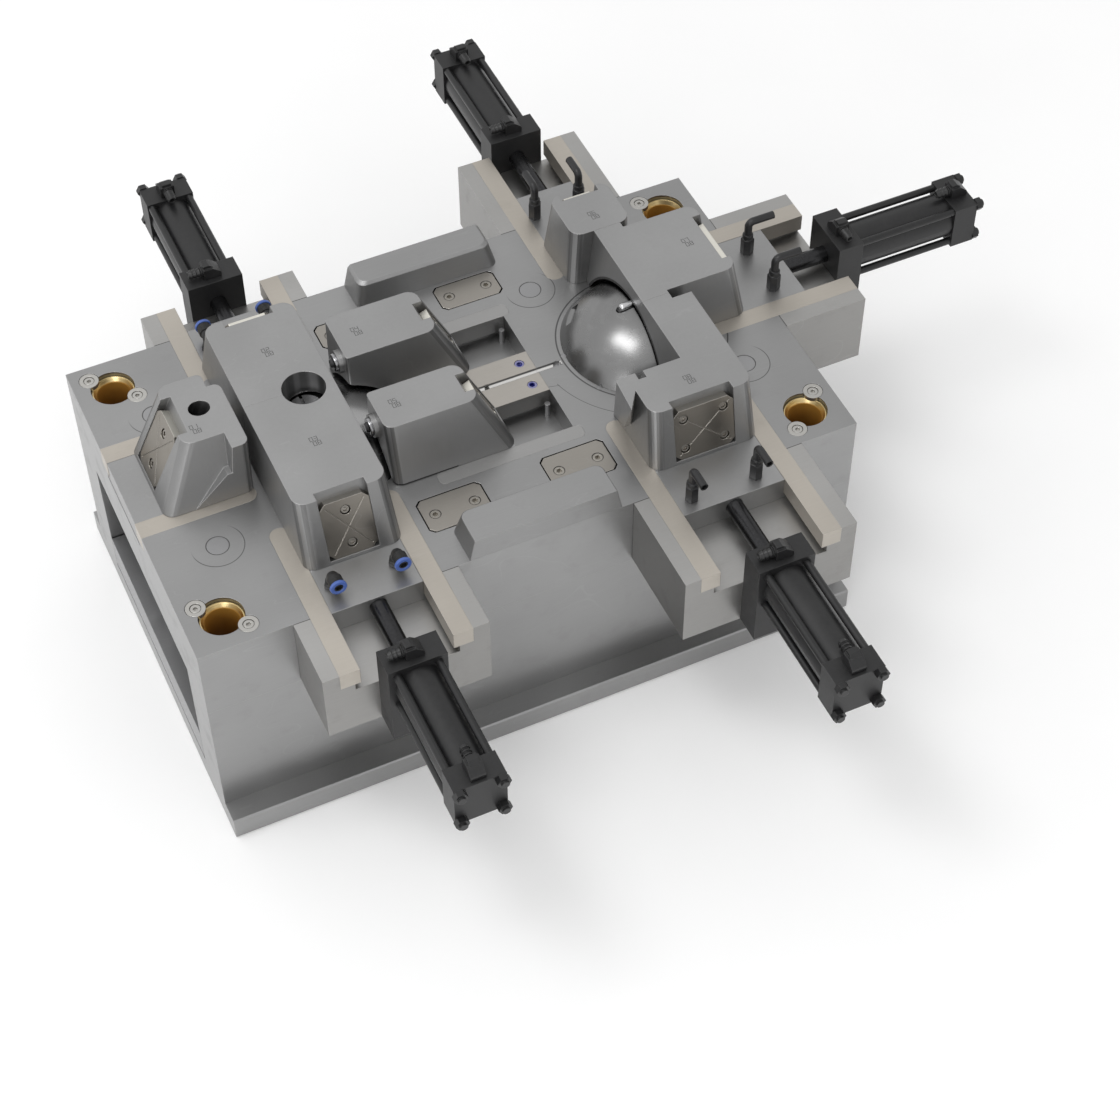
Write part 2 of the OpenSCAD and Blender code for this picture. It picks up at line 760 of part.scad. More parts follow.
module cylinder_caps() {
    color([0.17, 0.17, 0.18]) for (t = cyl_tracks) {
        y = track_out(t) + head_t + barrel_l;
        on_track(t) difference() {
            box([-cap_w / 2, y, -axis_d - cap_w / 2], [cap_w / 2, y + cap_t, -axis_d + cap_w / 2]);
            for (x = [-1, 1], z = [-1, 1]) {
                translate([x * tie_off, y - eps, -axis_d + z * tie_off]) rotate([-90, 0, 0])
                    cylinder(r = tie_r + seat, h = cap_t + 2 * eps);
            }
        }
    }
}

// Tie rod with the hexagon nut behind the cap
module tie_rods() {
    color([0.12, 0.12, 0.13]) for (t = cyl_tracks, x = [-1, 1], z = [-1, 1]) {
        y = track_out(t) + head_t;
        on_track(t) translate([x * tie_off, 0, -axis_d + z * tie_off]) rotate([-90, 0, 0]) {
            translate([0, 0, y - 15]) cylinder(r = tie_r, h = 15 + barrel_l + cap_t + 9);
            translate([0, 0, y + barrel_l + cap_t]) cylinder(r = 7, h = 6.5, $fn = 6);
        }
    }
}

// Port fitting: square foot with a ribbed hose end along +Y of its own frame
module port_fitting() {
    box([-7, -7, 0], [7, 7, 9]);
    translate([0, 0, 9]) cylinder(r = 7, h = 5);
    translate([0, 0, 7.5]) rotate([-90, 0, 0]) {
        cylinder(r = 4, h = 24);
        for (i = [0, 1, 2]) translate([0, 0, 11 + 4.5 * i]) cylinder(r1 = 5.2, r2 = 3.9, h = 4);
    }
}

module port_fittings() {
    color([0.15, 0.15, 0.16]) for (t = cyl_tracks) {
        y = track_out(t);
        turn = t[2] == 0 ? 90 : (t[2] == 180 ? -90 : -90);
        on_track(t) {
            translate([0, y + head_t / 2, head_up - axis_d]) rotate(turn) port_fitting();
            translate([0, y + head_t + barrel_l + cap_t / 2, cap_w / 2 - axis_d]) rotate(180) port_fitting();
        }
    }
}

module piston_rod(t, shoe_end) {
    y0 = shoe_end - 20;
    y1 = track_out(t) + head_t + 3;
    color([0.2, 0.2, 0.21]) on_track(t) translate([0, 0, -axis_d]) rotate([-90, 0, 0]) {
        translate([0, 0, y0]) cylinder(r = rod_r - 0.02, h = y1 - y0 + eps);
        translate([0, 0, y1]) cylinder(r = bore_r - 0.3, h = piston_l);
    }
}

// Body of a hydraulic slide: [inner, outer] at the top and [inner, outer] at the base, on its shoe
module slide_body(t, top, base, shoe_end, r_in = 0.5) {
    b = inner_half(t) + overhang;
    a = b - side_draft;
    tapered([-a, a, top[0], top[1]], [-b, b, base[0], base[1]], lift, slide_h, slide_r, r_in);
    shoe(t, shoe_in(t), shoe_end);
    neck(t, shoe_in(t), base[1] - 5);
}

steel = [0.6, 0.6, 0.61];

module slide_1_wedge() {
    top = [-30, 53.5, 240, 286.5];
    base = [-52, 54, 230, 286.5 + wedge_lean];
    tilt = 24;
    color(steel) difference() {
        on_track(wg) union() {
            tapered(top, base, lift, slide_h, 12, 6);
            tapered([-52, 34.5, 227, 245], [-52, 34.5, 228, 252], lift, slide_h, 2, 8);
            wedge_block([-52, -38, 236, 253], [-52, -38, 236, 290], lift, slide_h / 2);
            shoe(wg, shoe_in(wg), plate_l / 2 - 0.5);
            neck(wg, shoe_in(wg), base[3] - 16);
        }
        on_track(wg) on_face(wedge_wear_x, base[3], wedge_lean) wear_recess(wear_w, wedge_lean);
        on_track(wg) translate([10.4, 256, slide_h]) rotate([180 + tilt, 0, 0]) translate([0, 0, -12])
            cylinder(r = pin_hole_r, h = 80);
    }
}

wedge_lean = 34.5;
wedge_wear_x = 11;
pin_hole_r = 10;

module slide_2_back_left() {
    color(steel) difference() {
        on_track(bl) slide_body(bl, [seam_y + seam_gap / 2, back_left_face],
            [seam_y + seam_gap / 2, back_left_face + left_lean], back_left_shoe);
        on_track(bl) on_face(0, back_left_face + left_lean, left_lean) wear_recess(wear_w, left_lean);
        on_track(bl) rod_socket(back_left_shoe);
        neck_hole();
        cavity(left_one);
    }
}

module neck_hole() {
    at_parting() translate([neck_x, seam_y, lift - eps]) cylinder(r = neck_r, h = slide_h + 2 * eps);
}

module slide_3_front_left() {
    color(steel) difference() {
        on_track(fl) slide_body(fl, [-seam_y + seam_gap / 2, front_left_face],
            [-seam_y + seam_gap / 2, front_left_face + left_lean], front_left_shoe);
        on_track(fl) on_face(0, front_left_face + left_lean, left_lean) wear_recess(wear_w, left_lean);
        on_track(fl) rod_socket(front_left_shoe);
        neck_hole();
        cavity(left_one);
    }
}

// Inner slide on a keel, with the core pin of a hose port on its inner end
module inner_slide(t, top, base, wear_x, port, r_in) {
    difference() {
        on_track(t) union() {
            tapered(top, base, lift, slide_h, 12, r_in);
            box([-keel_half + run_gap, keel_start, -track_d + run_gap],
                [keel_half - run_gap, base[3] - 2, -lift]);
            box([-keel_half - wing + run_gap, keel_start, -track_d + run_gap],
                [keel_half + wing - run_gap, base[3] - 2, -gib_t - run_gap]);
            box([-keel_half + 8, keel_start, -2 * eps], [keel_half - 8, base[3] - 14, 2 * eps]);
            translate([port[0], base[2], port[1]]) rotate([90, 0, 0]) {
                translate([0, 0, -1]) cylinder(r = 12, h = 6);
                translate([0, 0, 4]) cylinder(r = 9, h = 4);
                translate([0, 0, 7]) cylinder(r1 = 5.5, r2 = 4, h = 4);
            }
        }
        on_track(t) on_face(wear_x, base[3], inner_lean) wear_recess(inner_wear_w, inner_lean);
        cavity(left_one);
    }
}

inner_lean = 33;
inner_face = -3.5;
inner_end = -102;
slide_4_top = [-37, 24.5, inner_end, inner_face];
slide_4_base = [-38.5, 31.5, inner_end, inner_face + inner_lean];
slide_5_top = [-39.5, 13.5, inner_end, inner_face];
slide_5_base = [-39.5, 28.5, inner_end, inner_face + inner_lean];

module slide_4_inner_back() {
    color(steel) inner_slide(ib, slide_4_top, slide_4_base, -6, [6, 50], [5, 3]);
}

module slide_5_inner_front() {
    color(steel) inner_slide(if_, slide_5_top, slide_5_base, -12.5, [-17, 47], [4, 10]);
}

module slide_6_back_right() {
    inner = 97;
    color(steel) difference() {
        on_track(br) slide_body(br, [inner, side_face], [inner, side_face + right_lean], back_right_shoe,
            slide_r);
        on_track(br) on_face(0, side_face + right_lean, right_lean) wear_recess(back_wear_w, right_lean);
        on_track(br) rod_socket(back_right_shoe);
        cavity(right_one);
    }
}

// Inner faces of the slides around the right cavity
right_inner = 198;
right_inner_base = 190;
lip_end = 228;
back_lip = 96.8;
front_lip = -17;

module slide_7_right() {
    x_back = right_y - back_lip;
    x_front = right_y - front_lip - seam_gap / 2;
    color(steel) difference() {
        on_track(rt) union() {
            slide_body(rt, [right_inner, right_face], [right_inner_base, right_face + right_lean],
                right_shoe);
            wedge_block([x_back, x_front, right_inner, lip_end],
                [x_back, x_front, right_inner_base, lip_end], lift, slide_h);
        }
        on_track(rt) on_face(0, right_face + right_lean, right_lean) wear_recess(right_wear_w, right_lean);
        on_track(rt) rod_socket(right_shoe);
        at_parting() translate([right_inner_base - 4, right_core_y + 1.5, pin_z]) rotate([0, 90, 0])
            cylinder(r = pin_r, h = pin_root + 13 - right_inner_base + 4);
        cavity(right_one);
    }
}

module slide_8_front_right() {
    inner = 103;
    x = front_right_x;
    color(steel) difference() {
        union() {
            on_track(fr) slide_body(fr, [inner, side_face], [inner - 17, side_face + right_lean],
                front_right_shoe);
            at_parting() {
                wedge_block([right_inner, x + 55.5, -116, front_lip - 8],
                    [right_inner_base, x + 59, -116, front_lip - 8], lift, slide_h);
                wedge_block([right_inner, lip_end, -40, front_lip - seam_gap / 2],
                    [right_inner_base, lip_end, -40, front_lip - seam_gap / 2], lift, slide_h);
                hull() {
                    translate([0, 0, lift]) linear_extrude(0.01)
                        polygon([[140, -86], [134.2, -86], [134.9, -107], [140, -112]]);
                    translate([0, 0, slide_h - 0.01]) linear_extrude(0.01)
                        polygon([[142, -103], [128, -103.6], [126.5, -106], [123.8, -146], [142, -119]]);
                }
            }
        }
        at_parting() box([148, -112, lift - eps], [156.6, -60, slide_h + eps]);
        on_track(fr) on_face(0, side_face + right_lean, right_lean) wear_recess(wide_wear_w, right_lean);
        on_track(fr) rod_socket(front_right_shoe);
        cavity(right_one);
    }
}

module wear_plate_1() {
    on_track(wg) on_face(wedge_wear_x, 286.5 + wedge_lean, wedge_lean)
        wear_plate(wear_w, wedge_lean, two_screws);
}

module wear_plate_2() {
    on_track(bl) on_face(0, back_left_face + left_lean, left_lean)
        wear_plate(wear_w, left_lean, two_screws);
}

module wear_plate_3() {
    on_track(fl) on_face(0, front_left_face + left_lean, left_lean)
        wear_plate(wear_w, left_lean, two_screws);
}

module wear_plate_4() {
    on_track(ib) on_face(-6, inner_face + inner_lean, inner_lean)
        wear_plate(inner_wear_w, inner_lean, two_screws);
}

module wear_plate_5() {
    on_track(if_) on_face(-12.5, inner_face + inner_lean, inner_lean)
        wear_plate(inner_wear_w, inner_lean, two_screws);
}

module wear_plate_6() {
    on_track(br) on_face(0, side_face + right_lean, right_lean)
        wear_plate(back_wear_w, right_lean, two_screws);
}

module wear_plate_7() {
    on_track(rt) on_face(0, right_face + right_lean, right_lean)
        wear_plate(right_wear_w, right_lean, four_screws);
}

module wear_plate_8() {
    on_track(fr) on_face(0, side_face + right_lean, right_lean)
        wear_plate(wide_wear_w, right_lean, four_screws);
}

// Push-in elbow with a round release collar
module push_elbow() {
    color([0.13, 0.13, 0.14]) translate([0, 0, -lift]) {
        cylinder(r = 7, h = 17);
        translate([0, 0, 17]) sphere(r = 7);
        translate([0, 0, 17]) rotate([-90, 0, 0]) cylinder(r = 6.9, h = 15);
    }
    color([0.25, 0.4, 0.85]) translate([0, 15, 17 - lift]) rotate([-90, 0, 0]) difference() {
        cylinder(r = 8.2, h = 4);
        translate([0, 0, 2]) cylinder(r = 3.5, h = 5);
    }
}

tube_r = 3.3;

// Long hexagon nipple with a bent tube
module bent_fitting(run) {
    bend = 8;
    up = 47;
    color([0.13, 0.13, 0.14]) translate([0, 0, -lift]) {
        cylinder(r = 7, h = 20, $fn = 6);
        translate([0, 0, 20]) cylinder(r = 5.5, h = 6);
        translate([0, 0, 26]) cylinder(r = tube_r, h = up - bend - 26);
        translate([0, bend, up - bend]) rotate([0, -90, 0]) rotate([0, 0, -90])
            rotate_extrude(angle = 90) translate([bend, 0]) circle(r = tube_r);
        translate([0, bend, up]) rotate([-90, 0, 0]) cylinder(r = tube_r, h = run - bend);
    }
}

module fittings_back_left() on_track(bl) for (s = [-1, 1]) translate([s * 33, 173, 0]) push_elbow();
module fittings_front_left() on_track(fl) for (s = [-1, 1]) translate([s * 33, 172, 0]) push_elbow();
module fittings_back_right() on_track(br) for (s = [-1, 1]) translate([s * 26, 211, 0]) bent_fitting(24);
module fittings_right() {
    on_track(rt) for (s = [-1, 1]) translate([2.8 + s * 30, 364, 0]) bent_fitting(29);
}
module fittings_front_right() {
    on_track(fr) for (s = [-1, 1]) translate([3.7 + s * 35.3, 219, 0]) bent_fitting(24);
}

// Pin with a round end, held in the right slide and lying over a groove in the right dome
module port_pin() {
    r = pin_r - 0.02;
    y = right_core_y + 1.5;
    color([0.8, 0.8, 0.81]) at_parting() translate([pin_start + r, y, pin_z]) rotate([0, 90, 0]) {
        cylinder(r = r, h = pin_root + 11 - pin_start - r);
        sphere(r = r);
    }
}

eject_z = clamp_t + stop_h;
eject_w = plate_w - 2 * spacer_w - 2 * eject_gap;

module ejector_plate() {
    color([0.63, 0.63, 0.64]) difference() {
        translate([-plate_l / 2, -eject_w / 2, eject_z]) cube([plate_l, eject_w, eject_t]);
        for (p = pillars) {
            translate([p[0], p[1], eject_z - eps]) cylinder(r = pillar_r + 1, h = eject_t + 2 * eps);
        }
        translate([0, 0, eject_z - eps]) cylinder(r = 8, h = 16 + eps);
    }
}

module retainer_plate() {
    z = eject_z + eject_t;
    color([0.66, 0.66, 0.67]) difference() {
        translate([-plate_l / 2, -eject_w / 2, z]) cube([plate_l, eject_w, retain_t]);
        for (p = pillars) {
            translate([p[0], p[1], z - eps]) cylinder(r = pillar_r + 1, h = retain_t + 2 * eps);
        }
        for (p = return_pins) translate([p[0], p[1], z - eps]) {
            cylinder(r = return_r + seat, h = retain_t + 2 * eps);
            cylinder(r = return_r + 3 + seat, h = 8 + eps);
        }
        rim_places() translate([0, 0, z - eps]) {
            cylinder(r = rim_r + seat, h = retain_t + 2 * eps);
            cylinder(r = rim_r + 2 + seat, h = 5 + eps);
        }
        translate([groove_end, runner_y, z - eps]) {
            cylinder(r = 4 + seat, h = retain_t + 2 * eps);
            cylinder(r = 6 + seat, h = 5 + eps);
        }
    }
}

// Pin with a head, standing on the ejector plate and flush with the parting plane
module headed_pin(r, head, head_h, drop) {
    z = eject_z + eject_t;
    translate([0, 0, z]) cylinder(r = r, h = part_z - z - drop);
    translate([0, 0, z]) cylinder(r = r + head, h = head_h);
}

module ejector_pins() {
    color([0.74, 0.74, 0.75]) {
        for (p = return_pins) translate([p[0], p[1], 0]) headed_pin(return_r, 3, 8, 0.1);
        rim_places() headed_pin(rim_r, 2, 5, 0.1);
        translate([groove_end, runner_y, 0]) headed_pin(4, 2, 5, groove_w / 2);
    }
}

clamp_plate();
spacer_blocks();
support_pillars();
stop_buttons();
core_plate();
raised_interlocks();
left_core();
right_core();
neck_core();
runner_plate();
guide_bushes();
bush_retainers();
parting_pads();
plate_screws();
pocket_pins();
slide_gibs();
bracket(fl, plate_w / 2);  // bracket_front_left
bracket(fr, plate_w / 2);  // bracket_front_right
bracket(rt, plate_l / 2);  // bracket_right
bracket(bl, plate_w / 2);  // bracket_back_left
bracket(br, plate_w / 2);  // bracket_back_right
cylinder_head(fl);  // cylinder_head_front_left
cylinder_head(fr);  // cylinder_head_front_right
cylinder_head(rt);  // cylinder_head_right
cylinder_head(bl);  // cylinder_head_back_left
cylinder_head(br);  // cylinder_head_back_right
cylinder_barrels();
cylinder_caps();
tie_rods();
port_fittings();
piston_rod(fl, front_left_shoe);  // piston_rod_front_left
piston_rod(fr, front_right_shoe);  // piston_rod_front_right
piston_rod(rt, right_shoe);  // piston_rod_right
piston_rod(bl, back_left_shoe);  // piston_rod_back_left
piston_rod(br, back_right_shoe);  // piston_rod_back_right
slide_1_wedge();
slide_2_back_left();
slide_3_front_left();
slide_4_inner_back();
slide_5_inner_front();
slide_6_back_right();
slide_7_right();
slide_8_front_right();
wear_plate_1();
wear_plate_2();
wear_plate_3();
wear_plate_4();
wear_plate_5();
wear_plate_6();
wear_plate_7();
wear_plate_8();
fittings_back_left();
fittings_front_left();
fittings_back_right();
fittings_right();
fittings_front_right();
port_pin();
ejector_plate();
retainer_plate();
ejector_pins();
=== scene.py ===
# Core half of a coolant tank mould: plates, cores, slides, hydraulic cylinders and ejection.
import bpy
import bmesh
import math
from mathutils import Matrix, Vector


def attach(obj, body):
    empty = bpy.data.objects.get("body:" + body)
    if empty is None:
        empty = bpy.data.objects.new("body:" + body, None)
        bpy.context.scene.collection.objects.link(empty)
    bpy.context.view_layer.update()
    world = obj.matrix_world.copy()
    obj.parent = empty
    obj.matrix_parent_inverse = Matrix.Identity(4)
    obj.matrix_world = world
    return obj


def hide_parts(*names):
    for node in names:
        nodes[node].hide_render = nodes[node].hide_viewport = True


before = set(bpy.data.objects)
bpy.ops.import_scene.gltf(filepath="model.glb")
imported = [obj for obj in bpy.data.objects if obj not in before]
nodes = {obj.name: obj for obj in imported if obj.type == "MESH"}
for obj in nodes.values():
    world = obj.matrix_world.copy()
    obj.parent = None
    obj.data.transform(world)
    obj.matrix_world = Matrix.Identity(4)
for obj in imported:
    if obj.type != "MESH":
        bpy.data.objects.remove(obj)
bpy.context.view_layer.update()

# Camera, floor and lamps
# The view is the photograph's: an 80 mm lens, high in front of the mould's left corner.
# The room is a pale floor under a white sky, with two soft lamps overhead and one in front.
photo_camera = bpy.data.objects.new("photo_camera", bpy.data.cameras.new("photo_camera"))
photo_camera.data.lens = 79.99
photo_camera.data.sensor_width = 36.0
photo_camera.data.clip_end = 60.0
photo_camera.location = (-0.6193, -1.6039, 2.1230)
photo_camera.rotation_euler = (0.682132, 0.003947, -0.433149)
bpy.context.scene.collection.objects.link(photo_camera)
bpy.context.scene.camera = photo_camera
bpy.context.scene.view_settings.view_transform = "Standard"


class Wire:
    """One output in a finish's node tree, used in sums as a plain number is."""

    def __init__(self, finish, socket):
        self.finish = finish
        self.socket = socket

    def math(self, operation, *values):
        return self.finish.node("ShaderNodeMath", {"operation": operation}, values)

    def __add__(self, other):
        return self.math("ADD", self, other)

    def __sub__(self, other):
        return self.math("SUBTRACT", self, other)

    def __rsub__(self, other):
        return self.math("SUBTRACT", other, self)

    def __mul__(self, other):
        return self.math("MULTIPLY", self, other)

    def __pow__(self, other):
        return self.math("POWER", self, other)

    def __abs__(self):
        return self.math("ABSOLUTE", self)

    def __lt__(self, other):
        return self.math("LESS_THAN", self, other)

    def __gt__(self, other):
        return self.math("GREATER_THAN", self, other)

    def __or__(self, other):
        return self.math("MAXIMUM", self, other)

    __radd__ = __add__
    __rmul__ = __mul__

    def rise(self, low, high, first=0.0, last=1.0):
        """A soft step: first below low, last above high."""
        return self.finish.node(
            "ShaderNodeMapRange",
            {"interpolation_type": "SMOOTHSTEP"},
            {"Value": self, "From Min": low, "From Max": high, "To Min": first, "To Max": last},
        )


class Finish:
    """A procedural finish: its node tree and the calls that add to it."""

    def __init__(self, owner):
        owner.use_nodes = True
        self.owner = owner
        self.tree = owner.node_tree
        self.tree.nodes.clear()

    def node(self, kind, settings=None, sockets=(), out=0):
        """Adds a node: its settings first, then the values or links of its sockets."""
        made = self.tree.nodes.new(kind)
        for key, value in (settings or {}).items():
            setattr(made, key, value)
        pairs = sockets.items() if isinstance(sockets, dict) else enumerate(sockets)
        for key, value in pairs:
            socket = made.inputs[key]
            if isinstance(value, Wire):
                self.tree.links.new(value.socket, socket)
            elif socket.type == "RGBA":
                socket.default_value = (*value, 1.0)
            else:
                socket.default_value = value
        return Wire(self, made.outputs[out]) if made.outputs else None

    def parts(self, vector):
        """A vector's x, y and z."""
        split = self.node("ShaderNodeSeparateXYZ", sockets=(vector,)).socket.node
        return tuple(Wire(self, output) for output in split.outputs)

    def place(self):
        """Where the point is on the piece at rest, in metres: the vector, then x, y and z."""
        where = self.node("ShaderNodeTexCoord", out="Object")
        return (where, *self.parts(where))

    def facing(self):
        """The way the face looks: x, y and z of its normal."""
        return self.parts(self.node("ShaderNodeNewGeometry", out="Normal"))

    def noise(self, where, scale, stretch=(1.0, 1.0, 1.0), detail=3.0, seed=0.0):
        """Cloudy noise, scale bumps to the metre, about 0.5 in the middle."""
        shift = (seed, seed * 0.7, seed * 0.3)
        moved = self.node(
            "ShaderNodeMapping", sockets={"Vector": where, "Location": shift, "Scale": stretch}
        )
        return self.node(
            "ShaderNodeTexNoise",
            sockets={"Vector": moved, "Scale": scale, "Detail": detail, "Roughness": 0.55},
        )

    def blend(self, amount, first, second):
        """One colour laid over another, in the sockets 6 and 7 of the colour mix."""
        return self.node(
            "ShaderNodeMix", {"data_type": "RGBA"}, {"Factor": amount, 6: first, 7: second}, out=2
        )

    def rounded(self, radius):
        """The normal over edges that are broken to a small radius."""
        return self.node("ShaderNodeBevel", {"samples": 4}, {"Radius": radius})

    def corner(self, rounded):
        """How far a broken edge turns the normal away from the face's own."""
        true = self.node("ShaderNodeNewGeometry", out="Normal")
        same = self.node(
            "ShaderNodeVectorMath", {"operation": "DOT_PRODUCT"}, (rounded, true), out="Value"
        )
        return 1.0 - same

    def bump(self, height, strength, distance, rounded):
        """Fine relief on top of the broken edges."""
        return self.node(
            "ShaderNodeBump",
            sockets={
                "Strength": strength, "Distance": distance, "Height": height, "Normal": rounded,
            },
        )

    def surface(self, paint, roughness, metallic=0.0, **others):
        """Ends a material with its one shader."""
        shader = self.node(
            "ShaderNodeBsdfPrincipled",
            sockets={
                "Base Color": paint, "Roughness": roughness, "Metallic": metallic, **others,
            },
        )
        return self.end("ShaderNodeOutputMaterial", shader)

    def end(self, kind, shader):
        self.node(kind, sockets={"Surface": shader})
        return self.owner


# The sky is white for the camera. The metal mirrors a soft grey ceiling with a white horizon.
white = (1.0, 1.0, 1.0)
sky = bpy.data.worlds.new("studio_sky")
bpy.context.scene.world = sky
sky_tree = Finish(sky)
sky_side, _, sky_up = sky_tree.parts(sky_tree.node("ShaderNodeTexCoord", out="Generated"))
sky_level = sky_up.rise(0.0, 0.8, 1.0, 0.94) * sky_side.rise(0.0, 0.50, 1.0, 0.76)
sky_seen = sky_tree.node("ShaderNodeLightPath", out="Is Camera Ray")
sky_light = sky_tree.node("ShaderNodeBackground", sockets={"Color": white, "Strength": sky_level})
sky_white = sky_tree.node("ShaderNodeBackground", sockets={"Color": white, "Strength": 1.0})
sky_mix = sky_tree.node("ShaderNodeMixShader", sockets=(sky_seen, sky_light, sky_white))
sky_tree.end("ShaderNodeOutputWorld", sky_mix)

floor_half = 9.0
floor_level = -0.0004
floor_mesh = bpy.data.meshes.new("studio_floor")
floor_corners = [
    (x * floor_half, y * floor_half, floor_level) for x, y in ((-1, -1), (1, -1), (1, 1), (-1, 1))
]
floor_mesh.from_pydata(floor_corners, [], [(0, 1, 2, 3)])
studio_floor = bpy.data.objects.new("studio_floor", floor_mesh)
bpy.context.scene.collection.objects.link(studio_floor)
floor_finish = Finish(bpy.data.materials.new("pale_floor"))
floor_where, *_ = floor_finish.place()
floor_cloud = floor_finish.noise(floor_where, 3.0).rise(0.3, 0.7)
floor_paint = floor_finish.blend(floor_cloud, (0.97, 0.97, 0.97), (0.985, 0.985, 0.985))
floor_mesh.materials.append(floor_finish.surface(floor_paint, 0.85))

for lamp_name, lamp_place, lamp_aim, lamp_size, lamp_power in (
    ("lamp_over_back", (-1.35, 0.28, 3.32), (0.0, 0.0, 0.3), 0.85, 13.0),
    ("lamp_over", (-0.80, -0.44, 2.98), (0.0, 0.0, 0.3), 0.80, 11.0),
    ("lamp_front", (-2.4, -3.0, 1.6), (0.0, 0.0, 0.2), 1.6, 22.0),
):
    lamp = bpy.data.objects.new(lamp_name, bpy.data.lights.new(lamp_name, "AREA"))
    lamp.data.size = lamp_size
    lamp.data.energy = lamp_power
    lamp.location = lamp_place
    lamp_way = Vector(lamp_aim) - Vector(lamp_place)
    lamp.rotation_euler = lamp_way.to_track_quat("-Z", "Y").to_euler()
    bpy.context.scene.collection.objects.link(lamp)


# Plates
# They are sawn, milled and surface-ground from plain tool steel: an even mid grey with fine
# grinding lines, and corners that are broken with a small bevel.
parting_plane = 0.270
right_dome = (0.208, 0.0015, 0.224)
runner_y = 0.002
return_pins = ((-0.286, -0.079), (0.286, -0.079), (0.131, 0.111), (-0.286, 0.110))
parting_pads = (
    (0.071, 0.138, 0.017), (-0.063, 0.138, 0.017), (0.074, -0.131, 0.021), (-0.059, -0.131, 0.021),
)


def dress(finish, *names):
    """Gives a finish to CAD nodes."""
    for name in names:
        if not nodes[name].material_slots:
            nodes[name].data.materials.append(finish)
        for place in nodes[name].material_slots:
            place.link = "OBJECT"
            place.material = finish


def times(tone, amount):
    """A colour made darker or lighter."""
    return tuple(part * amount for part in tone)


def distance(*offsets):
    """How long a way is, from its parts along the axes."""
    total = offsets[0] ** 2.0
    for offset in offsets[1:]:
        total = total + offset ** 2.0
    return total ** 0.5


def line(way, half, soft, strength=1.0):
    """A thin line where way is nought: half its width full, then fading out at soft."""
    return abs(way).rise(half, soft, strength, 0.0)


def steel(
    name, tone, shine, edge=0.0007, lines=(30.0, 900.0, 900.0), marks=None, shade=None,
    warm=0.0, metal=1.0, wear=0.10, glint=0.25,
):
    """Ground tool steel: slow cloudy tone, fine tool lines, a few scratches, broken corners.

    Edge is the corners' radius and glint the strength of their painted highlight, lines the stretch
    of the tool lines, warm the tan cast and wear the gloss of the stains. Marks lays on cut lines
    and painted shade, and shade repaints the tone, painted light and shade included.
    """
    finish = Finish(bpy.data.materials.new(name))
    where, x, y, z = finish.place()
    cloud = finish.noise(where, 7.0, detail=2.0).rise(0.25, 0.75)
    tool = finish.noise(where, 1.0, stretch=lines, detail=2.0, seed=3.0)
    stain = finish.noise(where, 38.0, detail=5.0, seed=9.0).rise(0.52, 0.74)
    streak = finish.noise(where, 9.0, stretch=(1.0, 6.0, 2.0), detail=1.0, seed=5.0)
    scratch = line(streak - 0.5, 0.0, 0.004)
    paint = finish.blend(cloud, times(tone, 0.94), times(tone, 1.06))
    paint = finish.blend(tool.rise(0.3, 0.7) * 0.035, paint, (0.20, 0.20, 0.20))
    paint = finish.blend(stain * 0.06, paint, (0.26 + warm, 0.25 + warm * 0.6, 0.24))
    if shade is not None:
        paint = shade(finish, x, y, z, paint)
    paint = finish.blend(scratch * 0.05, paint, (0.75, 0.75, 0.76))
    rounded = finish.rounded(edge)
    corner = finish.corner(rounded).rise(0.01, 0.22)
    # Painted highlight: the broken corners are lightened by glint.
    paint = finish.blend(corner * glint, paint, (0.70 + warm, 0.69 + warm * 0.6, 0.67))
    gloss = cloud * 0.05 + stain * wear + tool * 0.08 + (shine - 0.06)
    height = tool * 0.5 - scratch * 0.3
    if marks is not None:
        # Marks lay cut lines and painted shade on as near black.
        cut_and_shade = marks(x, y, z)
        paint = finish.blend(cut_and_shade * 0.75, paint, (0.05, 0.05, 0.05))
        height = height - cut_and_shade * 2.0
    relief = finish.bump(height, 0.07, 0.0002, rounded)
    return finish.surface(paint, gloss, metal, Normal=relief)


def core_plate_lines_and_shade(x, y, z):
    """Return pin rings, the right insert's outline; painted shade at its foot and in the pad
    pockets.
    """
    pin_radius, ring_radius, insert_radius, foot_radius = 0.0112, 0.0262, 0.111, 0.0890
    cut_and_shade = None
    for pin_x, pin_y in return_pins:
        away = distance(x - pin_x, y - pin_y)
        # Painted shade: each ring round a return pin is dark only on its front side.
        shaded_front = (y - x * 0.4 - (pin_y - pin_x * 0.4)).rise(-0.004, 0.016, 1.0, 0.0)
        ring = line(away - ring_radius, 0.0002, 0.0007, 0.9) * shaded_front
        snug = line(away - pin_radius, 0.0003, 0.0010)
        cut_and_shade = ring | snug if cut_and_shade is None else cut_and_shade | ring | snug
    away = distance(x - right_dome[0], y - right_dome[1])
    front_left = (x < 0.150) * (y < -0.024) * (y > -0.098)
    arc = line(away - insert_radius, 0.0001, 0.0005) * front_left
    # Painted shade in the crease round the right dome's foot.
    foot_shade = line(away - foot_radius, 0.0005, 0.0011)
    spur = line(y + x * 0.25 + 0.0016, 0.0001, 0.0004) * (x > 0.0905) * (x < 0.1015)
    cut_and_shade = (cut_and_shade | arc | foot_shade | spur) * (z > parting_plane - 0.0001)
    for pad_x, pad_y, pad_half in parting_pads:
        # Painted shade: the pads' pocket walls are laid on near black.
        pocket_shade = (abs(x - pad_x) < 0.0352) * (abs(y - pad_y) < pad_half + 0.0017)
        cut_and_shade = cut_and_shade | pocket_shade * (z < parting_plane - 0.0004) * (z > 0.2590) * 1.2
    return cut_and_shade


